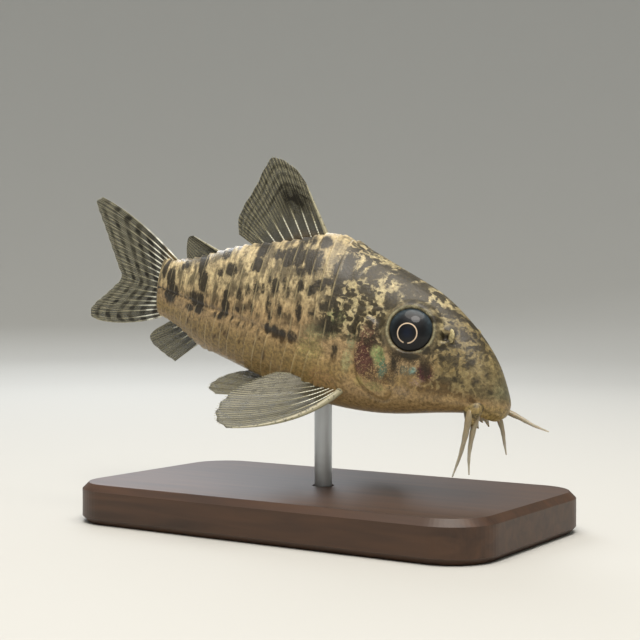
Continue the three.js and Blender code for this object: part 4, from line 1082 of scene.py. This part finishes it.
# Lip flaps: two pairs of short tabs of the same soft skin as the barbels, which hang from the
# lower lip between them, the outer pair the longer.
LIP_FLAPS = ((-1.2, 1.5), (1.2, 1.5), (-0.4, 0.8), (0.4, 0.8))    # off the middle, and length
LIP_FLAP_BACK = 3.05
LIP_FLAP_STEPS = 16
LIP_FLAP_RADII = np.interp(np.linspace(0, 2, LIP_FLAP_STEPS), range(3), (0.42, 0.3, 0.08))

lip_parts = []
for off, length in LIP_FLAPS:
    root_z = underside_at(LIP_FLAP_BACK, off)
    path = smooth_line([
        (-LIP_FLAP_BACK, off, root_z + 0.2),
        (-LIP_FLAP_BACK - 0.05, off * 1.08, root_z - 0.5 * length),
        (-LIP_FLAP_BACK + 0.35, off * 1.15, root_z - length),
    ], LIP_FLAP_STEPS)
    lip_parts.append(tube(path, LIP_FLAP_RADII, 10))
points, faces = joined(lip_parts)
lip_flaps = piece("lip_flaps", posed(points), faces, [barbel_soft])
paint_on(lip_flaps, "place", points, "FLOAT_VECTOR")
paint_on(lip_flaps, "to_tip", np.full(len(points), 0.6))
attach(lip_flaps, "root")
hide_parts("lower_lip")


# Fins: thin clear skin stretched over a fan of bony rays. Each soft ray is a chain of short
# segments that forks once or twice; the dorsal and pectoral fins lead with one stout spine.
FAN_STEPS = 8            # points of a fan's outline from one ray to the next
ROOT_SUNK = 1.2          # how far a paired fin's rays start inside the body
FILM_STEPS = 8           # points of the film from one ray to the next
FILM_ROWS = 48
FILM_THICK = 0.1
FIRST_FORK = 0.36        # where a ray forks, as shares of its length
SECOND_FORK = 0.68
RAY_STEPS = 40
RAY_SEGMENT = 0.34
SEGMENT_SHARE = 0.86     # the rest of each step is the joint between two segments
SPINE_STEPS = 60
SPINE_TAPER = 0.85
SPINE_THINNESS = 0.8


def spread_fan(count, root_start, root_end, edge, bow=lambda share: 0 * share):
    """Roots along one line and tips along a smooth edge, in the fin's plane."""
    dense = (count - 1) * FAN_STEPS + 1
    share = np.linspace(0, 1, dense)
    roots = np.array(root_start) + share[:, None] * (np.array(root_end) - np.array(root_start))
    return roots, smooth_line(edge, dense), np.stack([0 * share, bow(share)], -1)


def swung_fan(count, root_width, swing, lengths, bow):
    """Rays from one short root line, turned evenly from the first way to the last."""
    share = np.linspace(0, 1, (count - 1) * FAN_STEPS + 1)
    knots = [(i / (len(lengths) - 1), length) for i, length in enumerate(lengths)]
    reach = smooth_line(knots, 200)
    long = np.interp(share, reach[:, 0], reach[:, 1])
    turn = share * swing
    roots = np.stack([np.full(len(share), -ROOT_SUNK), -root_width * share], -1)
    tips = long[:, None] * np.stack([np.cos(turn), -np.sin(turn)], -1)
    tips[:, 1] -= root_width * share
    return roots, tips, np.stack([0 * share, bow * (1 - share) ** 1.5], -1)


def rays_in(fan):
    """How many rays a fan has."""
    return (len(fan[0]) - 1) // FAN_STEPS + 1


def midline(flat, off):
    """A point of a fin that stands in the middle plane of the fish."""
    return np.stack([-flat[..., 0], off + 0 * flat[..., 0], flat[..., 1]], -1)


def side_plane(root, first_way, last_way, side):
    """The plane of a paired fin, from its root and the ways of its first and last rays."""
    mirror = np.array([1, -side, 1])
    origin = mirror * root
    u = mirror * first_way / np.linalg.norm(first_way)
    last = mirror * last_way / np.linalg.norm(last_way)
    v = last - (last @ u) * u
    v = -v / np.linalg.norm(v)
    n = np.cross(u, v)

    def put(flat, off):
        return origin + flat[..., :1] * u + flat[..., 1:] * v + np.asarray(off)[..., None] * n

    return put


def fan_point(fan, place_on, camber, across, along, lift=0.0):
    """A point of a fin: how many rays across, what share of the way to the tips, and how far
    off its middle surface."""
    roots, tips, bows = fan
    count = rays_in(fan)
    index = np.arange(len(roots)) / FAN_STEPS
    root, tip, bow = [np.stack([np.interp(across, index, line[:, k]) for k in range(2)], -1)
                      for line in (roots, tips, bows)]
    t = np.asarray(along)[..., None]
    flat = root + (tip - root) * t + bow * 4 * t * (1 - t)
    arc = camber * np.sin(math.pi * np.minimum(1, along))
    arc = arc * np.sin(math.pi * np.asarray(across) / (count - 1))
    return place_on(flat, arc + lift)


def membrane(fan, place_on, camber, notch):
    """A closed thin sheet over a whole fan, scalloped between the ray tips."""
    count = rays_in(fan)
    across = np.linspace(0, count - 1, (count - 1) * FILM_STEPS + 1)
    reach = 1 - notch * np.sin(math.pi * (across % 1)) ** 2
    t = np.linspace(0, 1, FILM_ROWS)[None] * reach[:, None]
    wide = across[:, None] + 0 * t
    half = 0.5 * FILM_THICK * (1 - 0.6 * t)
    front = fan_point(fan, place_on, camber, wide, t, half)
    rear = fan_point(fan, place_on, camber, wide, t, -half)
    points = np.concatenate([front.reshape(-1, 3), rear.reshape(-1, 3)])
    at = np.arange(len(across) * FILM_ROWS).reshape(len(across), FILM_ROWS)
    behind = at + at.size
    front_faces = np.stack([at[:-1, :-1], at[1:, :-1], at[1:, 1:], at[:-1, 1:]], -1)
    rear_faces = np.stack([behind[:-1, :-1], behind[:-1, 1:], behind[1:, 1:], behind[1:, :-1]], -1)
    faces = front_faces.reshape(-1, 4).tolist() + rear_faces.reshape(-1, 4).tolist()
    border = at[:, 0].tolist() + at[-1, 1:].tolist() + at[-2::-1, -1].tolist() + at[0, -2:0:-1].tolist()
    faces += [(b, a, a + at.size, b + at.size) for a, b in zip(border, border[1:] + border[:1])]
    fin_place = np.stack([wide, t, 0 * t], -1).reshape(-1, 3)
    return points, facing_out(points, faces), np.concatenate([fin_place, fin_place])


def ray_paths(count, first):
    """The ways of every ray's four branches through a fan, as (rays across, share along, girth)."""
    paths = []
    t = np.linspace(0, 1, RAY_STEPS)
    girth = 1 - 0.45 * smooth_step(t, FIRST_FORK, FIRST_FORK + 0.1) - 0.3 * t
    spread = 0.25 * smooth_step(t, FIRST_FORK, 1)
    spread_again = 0.125 * smooth_step(t, SECOND_FORK, 1.1)
    for ray in range(first, count):
        for one in (-1, 1):
            for two in (-1, 1):
                start = 0.0
                if one > 0:
                    start = FIRST_FORK
                if two > 0:
                    start = SECOND_FORK
                keep = t >= start
                across = np.clip(ray + one * spread + two * spread_again, 0, count - 1)
                paths.append((across[keep], t[keep], girth[keep]))
    return paths


def ray_tree():
    """Geometry nodes that set a short segment of ray at every step along each path."""
    tree = bpy.data.node_groups.new("segmented_rays", "GeometryNodeTree")
    tree.interface.new_socket("Paths", in_out="INPUT", socket_type="NodeSocketGeometry")
    for name in ("Segment Length", "Ray Radius", "Segment Share"):
        tree.interface.new_socket(name, in_out="INPUT", socket_type="NodeSocketFloat")
    tree.interface.new_socket("Finish", in_out="INPUT", socket_type="NodeSocketMaterial")
    tree.interface.new_socket("Rays", in_out="OUTPUT", socket_type="NodeSocketGeometry")
    given = node(tree, "NodeGroupInput")
    curves = node(tree, "GeometryNodeMeshToCurve", {"Mesh": given.outputs["Paths"]})
    stepped = node(tree, "GeometryNodeResampleCurve", {
        "Curve": curves.outputs["Curve"], "Length": given.outputs["Segment Length"],
    }, mode="LENGTH")
    girth = node(tree, "GeometryNodeInputNamedAttribute", {"Name": "girth"}, data_type="FLOAT")
    radius = node(tree, "ShaderNodeMath", {
        0: girth.outputs["Attribute"], 1: given.outputs["Ray Radius"],
    }, operation="MULTIPLY")
    half_length = node(tree, "ShaderNodeMath", {
        0: given.outputs["Segment Length"], 1: given.outputs["Segment Share"],
    }, operation="MULTIPLY")
    size = node(tree, "ShaderNodeCombineXYZ", {
        "X": radius.outputs[0], "Y": radius.outputs[0], "Z": half_length.outputs[0],
    })
    turn = node(tree, "FunctionNodeAlignRotationToVector", {
        "Vector": node(tree, "GeometryNodeInputTangent").outputs["Tangent"],
    }, axis="Z")
    segment = node(tree, "GeometryNodeMeshCylinder", {
        "Vertices": 8, "Side Segments": 1, "Radius": 1.0, "Depth": 1.0,
    })
    segment_smooth = node(tree, "GeometryNodeSetShadeSmooth", {"Geometry": segment.outputs["Mesh"]})
    set_out = node(tree, "GeometryNodeInstanceOnPoints", {
        "Points": stepped.outputs["Curve"],
        "Instance": segment_smooth.outputs["Geometry"],
        "Rotation": turn.outputs["Rotation"],
        "Scale": size.outputs["Vector"],
    })
    real = node(tree, "GeometryNodeRealizeInstances", {"Geometry": set_out.outputs["Instances"]})
    dressed = node(tree, "GeometryNodeSetMaterial", {
        "Geometry": real.outputs["Geometry"], "Material": given.outputs["Finish"],
    })
    node(tree, "NodeGroupOutput", {"Rays": dressed.outputs["Geometry"]})
    return tree


segmented_rays = ray_tree()


def grow_rays(name, fan, place_on, camber, paths, radius, pigment, finish):
    """The segmented rays of a fin as one plain mesh."""
    points, edges, girths, dark, pale = [], [], [], [], []
    for across, along, girth in paths:
        start = len(girths)
        points.append(fan_point(fan, place_on, camber, across, along))
        girths += list(girth)
        dark += list(pigment(across, along))
        pale += list(root_paleness(across, along))
        edges += [(i, i + 1) for i in range(start, len(girths) - 1)]
    mesh = bpy.data.meshes.new(name)
    mesh.from_pydata(posed(np.concatenate(points)).tolist(), edges, [])
    mesh.attributes.new("girth", "FLOAT", "POINT").data.foreach_set("value", np.array(girths, np.float32))
    mesh.attributes.new("pigment", "FLOAT", "POINT").data.foreach_set("value", np.array(dark, np.float32))
    mesh.attributes.new("pale", "FLOAT", "POINT").data.foreach_set("value", np.array(pale, np.float32))
    paths_only = bpy.data.objects.new(name + "_paths", mesh)
    bpy.context.scene.collection.objects.link(paths_only)
    grower = paths_only.modifiers.new("rays", "NODES")
    grower.node_group = segmented_rays
    sizes = {
        "Segment Length": MM * RAY_SEGMENT,
        "Ray Radius": MM * radius,
        "Segment Share": SEGMENT_SHARE,
        "Finish": finish,
    }
    for socket in segmented_rays.interface.items_tree:
        if socket.name in sizes:
            grower[socket.identifier] = sizes[socket.name]
    evaluated = paths_only.evaluated_get(bpy.context.evaluated_depsgraph_get())
    plain = bpy.data.meshes.new_from_object(evaluated)
    plain.name = name
    bpy.data.objects.remove(paths_only)
    rays = bpy.data.objects.new(name, plain)
    bpy.context.scene.collection.objects.link(rays)
    return rays


# Fin skin: a clear, faintly grey-green film with dark spots between the rays
fin_film, tree = bare_material("clear_fin_skin")
film_dark = node(tree, "ShaderNodeAttribute", attribute_name="pigment").outputs["Fac"]
film_place = node(tree, "ShaderNodeAttribute", attribute_name="fin_place").outputs["Vector"]
mottle_place = node(tree, "ShaderNodeVectorMath", {
    0: film_place, 1: (1.6, 14.0, 1.0),
}, operation="MULTIPLY").outputs[0]
mottle = node(tree, "ShaderNodeTexNoise", {"Vector": mottle_place, "Scale": 1.0, "Detail": 3.0}).outputs[0]
film_mottled = node(tree, "ShaderNodeMath", {0: film_dark, 1: 0.3}, operation="ADD").outputs[0]
film_mottled = node(tree, "ShaderNodeMath", {0: film_mottled, 1: mottle}, operation="MULTIPLY").outputs[0]
film_mottled = node(tree, "ShaderNodeMath", {
    0: film_mottled, 1: 2.0,
}, operation="MULTIPLY", use_clamp=True).outputs[0]

# Ribs: pale lines in the film over each ray, one at the root and four towards the edge
across_film, along_film, _ = node(tree, "ShaderNodeSeparateXYZ", {0: film_place}).outputs
branches = node(tree, "ShaderNodeMath", {
    0: across_film, 1: 8 * math.pi, 2: math.pi,
}, operation="MULTIPLY_ADD").outputs[0]
branches = node(tree, "ShaderNodeMath", {0: branches}, operation="COSINE").outputs[0]
branches = node(tree, "ShaderNodeMath", {0: branches, 1: 0.5, 2: 0.5}, operation="MULTIPLY_ADD").outputs[0]
trunks = node(tree, "ShaderNodeMath", {0: across_film, 1: 2 * math.pi}, operation="MULTIPLY").outputs[0]
trunks = node(tree, "ShaderNodeMath", {0: trunks}, operation="COSINE").outputs[0]
trunks = node(tree, "ShaderNodeMapRange", {
    "Value": trunks, "From Min": 0.6, "From Max": 1.0,
}, interpolation_type="SMOOTHSTEP").outputs[0]
forked = node(tree, "ShaderNodeMapRange", {
    "Value": along_film, "From Min": 0.28, "From Max": 0.6,
}, interpolation_type="SMOOTHSTEP").outputs[0]
ribs = node(tree, "ShaderNodeMath", {0: branches, 1: trunks}, operation="SUBTRACT").outputs[0]
ribs = node(tree, "ShaderNodeMath", {0: ribs, 1: forked, 2: trunks}, operation="MULTIPLY_ADD").outputs[0]
rib_wear = node(tree, "ShaderNodeMapRange", {
    "Value": mottle, "From Min": 0.25, "From Max": 0.6,
}, interpolation_type="SMOOTHSTEP").outputs[0]
ribs = node(tree, "ShaderNodeMath", {0: ribs, 1: rib_wear}, operation="MULTIPLY").outputs[0]
film_base = node(tree, "ShaderNodeMapRange", {
    "Value": along_film, "From Min": 0.05, "From Max": 0.24, "To Min": 1.0, "To Max": 0.0,
}, interpolation_type="SMOOTHSTEP").outputs[0]
film_mix = colour("#4b4836")
for amount, code in ((ribs, "#a8a285"), (film_base, "#94794c"), (film_mottled, "#1d1a12")):
    film_mix = node(tree, "ShaderNodeMix", {
        0: amount, 6: film_mix, 7: colour(code),
    }, data_type="RGBA").outputs[2]
rib_open = node(tree, "ShaderNodeMath", {0: ribs, 1: 0.15, 2: 0.52}, operation="MULTIPLY_ADD").outputs[0]
film_open = node(tree, "ShaderNodeMath", {0: film_mottled, 1: film_base}, operation="MAXIMUM").outputs[0]
film_open = node(tree, "ShaderNodeMath", {
    0: film_open, 1: 0.4, 2: rib_open,
}, operation="MULTIPLY_ADD", use_clamp=True).outputs[0]
surface = node(tree, "ShaderNodeBsdfPrincipled", {
    "Base Color": film_mix,
    "Roughness": 0.3,
    "Alpha": film_open,
    "IOR": 1.4,
})
node(tree, "ShaderNodeOutputMaterial", {"Surface": surface.outputs["BSDF"]})

# Fin ray: dense pale bone under skin, in segments, darkened where the fin's bands cross it
ray_bone, tree = bare_material("pale_ray_bone")
ray_dark = node(tree, "ShaderNodeAttribute", attribute_name="pigment").outputs["Fac"]
ray_pale = node(tree, "ShaderNodeAttribute", attribute_name="pale").outputs["Fac"]
ray_bright = node(tree, "ShaderNodeMix", {
    0: ray_pale, 6: colour("#b3ad90"), 7: colour("#efeedd"),
}, data_type="RGBA").outputs[2]
ray_mix = node(tree, "ShaderNodeMix", {0: ray_dark, 6: ray_bright, 7: colour("#4a4531")}, data_type="RGBA")
surface = node(tree, "ShaderNodeBsdfPrincipled", {
    "Base Color": ray_mix.outputs[2],
    "Roughness": 0.35,
    "Subsurface Weight": 0.1,
    "Subsurface Radius": (0.4, 0.3, 0.2),
    "Subsurface Scale": MM,
})
node(tree, "ShaderNodeOutputMaterial", {"Surface": surface.outputs["BSDF"]})

# Spine: one solid, tapering bone, beige with dark speckles
spine_bone, tree = bare_material("speckled_spine_bone")
spine_place = node(tree, "ShaderNodeAttribute", attribute_name="fin_place").outputs["Vector"]
speckle = node(tree, "ShaderNodeTexVoronoi", {"Vector": spine_place, "Scale": 2.2})
speckled = node(tree, "ShaderNodeMapRange", {
    "Value": speckle.outputs["Distance"], "From Min": 0.36, "From Max": 0.2, "To Max": 0.8,
}, interpolation_type="SMOOTHSTEP")
spine_mix = node(tree, "ShaderNodeMix", {
    0: speckled.outputs[0], 6: colour("#a09a7e"), 7: colour("#4a4434"),
}, data_type="RGBA")
surface = node(tree, "ShaderNodeBsdfPrincipled", {
    "Base Color": spine_mix.outputs[2],
    "Roughness": 0.4,
    "Coat Weight": 0.2,
})
node(tree, "ShaderNodeOutputMaterial", {"Surface": surface.outputs["BSDF"]})


def band(along, middle, width):
    """A soft band across a fin."""
    return np.exp(-((along - middle) / width) ** 2)


def dorsal_pigment(across, along):
    """A blotch on the leading rays, rows of dots near the tips and a faint band at the root."""
    blotch = np.exp(-((across - 2.2) / 1.5) ** 2 - ((along - 0.56) / 0.14) ** 2)
    blotch = blotch * (0.75 + 0.25 * np.cos(across * 2 * math.pi))
    tip_rows = 0.35 * (np.sin(along * 60 + across * 1.3) > 0.55) * (along > 0.62)
    base = 0.5 * band(along, 0.08, 0.07) * (across < 5)
    return np.clip(1.1 * blotch + tip_rows + base, 0, 1)


def caudal_pigment(across, along):
    """Uneven rows of spots across the tail fin."""
    rows_of_spots = np.sin(along * 44 - 0.5) > 0.25
    alternate = np.sin(across * 3.1 + along * 9) * 0.5 + 0.5
    spots = rows_of_spots * (0.35 + 0.65 * alternate) * smooth_step(along, 0.12, 0.2)
    return np.clip(spots * (1 - 0.5 * along), 0, 1)


def adipose_pigment(across, along):
    """A grey shade just behind the spine."""
    return np.clip(0.4 * band(across, 0.35, 0.5), 0, 1)


def faint_pigment(across, along):
    """The faint streaks of the lower fins."""
    return 0.3 * smooth_step(np.sin(across * 5.3 + 2 * along), 0.2, 0.9) * (1 - 0.5 * along)


def root_paleness(across, along):
    """Where rays are bright: a streak along the lower part of each, longer on every other one."""
    return smooth_step(along, 0.05, 0.12) * (1 - smooth_step(along, 0.3, 0.42 + 0.08 * np.cos(across * 3)))


def caudal_bow(share):
    """How far the tail fin's rays bow outwards, most at its upper and lower edges."""
    return np.where(share < 0.5, 1, -0.8) * np.abs(1 - 2 * share) ** 1.5


FIRST_PECTORAL = np.array([-7.4, -11, -5.6])
LAST_PECTORAL = np.array([-0.94, -0.28, -0.02])
FIRST_PELVIC = np.array([-7.4, -5.4, -1.9])
LAST_PELVIC = np.array([-0.97, -0.06, 0.06])


def angle_between(a, b):
    """The angle from one way to another."""
    return math.acos(a @ b / np.linalg.norm(a) / np.linalg.norm(b))


FINS = {
    "dorsal_fin": {
        "fan": spread_fan(9, (26.9, 19.2), (36.4, 16.6), [
            (32.2, 26.6), (34.2, 28.2), (37.4, 29.2), (38.7, 28.2), (40.1, 25), (41.6, 22.4),
            (42.2, 20.4), (41.7, 18.6)]),
        "place": midline, "notch": 0.012, "spine": 0.42, "radius": 0.1, "pigment": dorsal_pigment,
    },
    "adipose_fin": {
        "fan": spread_fan(4, (42.6, 15.4), (50.2, 12.6), [
            (49.9, 17.3), (50.8, 16.9), (50.9, 15.6), (50.6, 14.3)]),
        "place": midline, "notch": 0.0, "spine": 0.3, "radius": 0, "pigment": adipose_pigment,
    },
    "caudal_fin": {
        "fan": spread_fan(17, (51.4, 13.1), (52, 6.4), [
            (71.2, 20), (72.7, 19.2), (71.4, 17.6), (69.4, 15.6), (67.2, 13.2), (65.2, 11), (64, 9.4),
            (65.6, 7.8), (67.8, 6.1), (69.8, 4.7), (70.7, 3.5), (70.3, 2.7), (68.4, 2.5)], caudal_bow),
        "place": midline, "notch": 0.012, "spine": 0, "radius": 0.11, "pigment": caudal_pigment,
    },
    "anal_fin": {
        "fan": spread_fan(7, (44.9, 4.4), (49.9, 6.6), [
            (50.2, 0.1), (51.6, 0.4), (53.6, 1), (55.4, 1.7), (55.9, 2.6), (54.9, 3.6), (53.6, 4.4)]),
        "place": midline, "notch": 0.012, "spine": 0, "radius": 0.09, "pigment": faint_pigment,
    },
}
for fin_side, side_name in ((-1, "right"), (1, "left")):
    FINS["pectoral_fin_" + side_name] = {
        "fan": swung_fan(9, 1.7, angle_between(FIRST_PECTORAL, LAST_PECTORAL),
                         (14.3, 14.9, 14.4, 13.2, 11.6, 9.8, 8.2, 6.8), 2.2),
        "place": side_plane(np.array([-19.6, -5.9, 3.1]), FIRST_PECTORAL, LAST_PECTORAL, fin_side),
        "camber": fin_side * 0.5, "notch": 0.012, "spine": 0.46, "radius": 0.09, "pigment": faint_pigment,
    }
    FINS["pelvic_fin_" + side_name] = {
        "fan": swung_fan(7, 1.3, angle_between(FIRST_PELVIC, LAST_PELVIC),
                         (9.4, 10.4, 10, 9.1, 7.9, 6.4), 0.6),
        "place": side_plane(np.array([-27.6, -3.1, 1.2]), FIRST_PELVIC, LAST_PELVIC, fin_side),
        "camber": fin_side * 0.3, "notch": 0.012, "spine": 0, "radius": 0.08, "pigment": faint_pigment,
    }

for name, fin in FINS.items():
    camber = fin.get("camber", 0)
    points, faces, fin_place = membrane(fin["fan"], fin["place"], camber, fin["notch"])
    film = piece(name + "_skin", posed(points), faces, [fin_film])
    paint_on(film, "fin_place", fin_place, "FLOAT_VECTOR")
    paint_on(film, "pigment", fin["pigment"](fin_place[:, 0], fin_place[:, 1]))
    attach(film, "root")
    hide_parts(name)
    count = rays_in(fin["fan"])
    if fin["radius"]:
        paths = ray_paths(count, 1 if fin["spine"] else 0)
        rays = grow_rays(name + "_rays", fin["fan"], fin["place"], camber, paths,
                         fin["radius"], fin["pigment"], ray_bone)
        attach(rays, "root")
    if fin["spine"]:
        t = np.linspace(0, 0.97, SPINE_STEPS)
        path = fan_point(fin["fan"], fin["place"], camber, np.full(SPINE_STEPS, 0.06), t)
        points, faces = tube(path, fin["spine"] * (1 - SPINE_TAPER * t), 14, SPINE_THINNESS)
        spine = piece(name + "_spine", posed(points), faces, [spine_bone])
        paint_on(spine, "fin_place", points, "FLOAT_VECTOR")
        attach(spine, "root")


# Stand: a small board of dark, oiled walnut, and a rod of brushed steel that stands in it and
# carries the fish at the belly. Both solids have their last shape, so they only get a finish here.
WOOD_GRAIN_PER_M = (60, 700, 700)        # long along the board, fine across it
BRUSHING_PER_M = (9000, 9000, 120)

# Oiled walnut: streaks of darker and lighter brown along the board, with open pores
walnut, tree = bare_material("oiled_walnut")
board_place = node(tree, "ShaderNodeTexCoord").outputs["Object"]
board_grain_place = node(tree, "ShaderNodeMapping", {"Vector": board_place, "Scale": WOOD_GRAIN_PER_M})
board_grain = node(tree, "ShaderNodeTexNoise", {
    "Vector": board_grain_place.outputs[0], "Scale": 1.0, "Detail": 6.0, "Distortion": 0.6,
})
wood_mix = node(tree, "ShaderNodeMix", {
    0: board_grain.outputs[0], 6: colour("#1d130d"), 7: colour("#5a3d28"),
}, data_type="RGBA")
surface = node(tree, "ShaderNodeBsdfPrincipled", {
    "Base Color": wood_mix.outputs[2],
    "Roughness": 0.45,
    "Normal": node(tree, "ShaderNodeBump", {
        "Height": board_grain.outputs[0], "Strength": 0.2, "Distance": 0.05 * MM,
    }).outputs["Normal"],
})
node(tree, "ShaderNodeOutputMaterial", {"Surface": surface.outputs["BSDF"]})

# Brushed steel: fine scratches along the rod
brushed_steel, tree = bare_material("brushed_steel")
rod_place = node(tree, "ShaderNodeMapping", {
    "Vector": node(tree, "ShaderNodeTexCoord").outputs["Object"], "Scale": BRUSHING_PER_M,
})
brushing = node(tree, "ShaderNodeTexNoise", {"Vector": rod_place.outputs[0], "Scale": 1.0, "Detail": 2.0})
surface = node(tree, "ShaderNodeBsdfPrincipled", {
    "Base Color": colour("#b9bcbf"),
    "Metallic": 1.0,
    "Roughness": node(tree, "ShaderNodeMapRange", {
        "Value": brushing.outputs[0], "To Min": 0.25, "To Max": 0.45,
    }).outputs[0],
})
node(tree, "ShaderNodeOutputMaterial", {"Surface": surface.outputs["BSDF"]})
for name, finish in (("stand_base", walnut), ("stand_rod", brushed_steel)):
    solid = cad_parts[name]
    solid.data.materials.clear()
    solid.data.materials.append(finish)
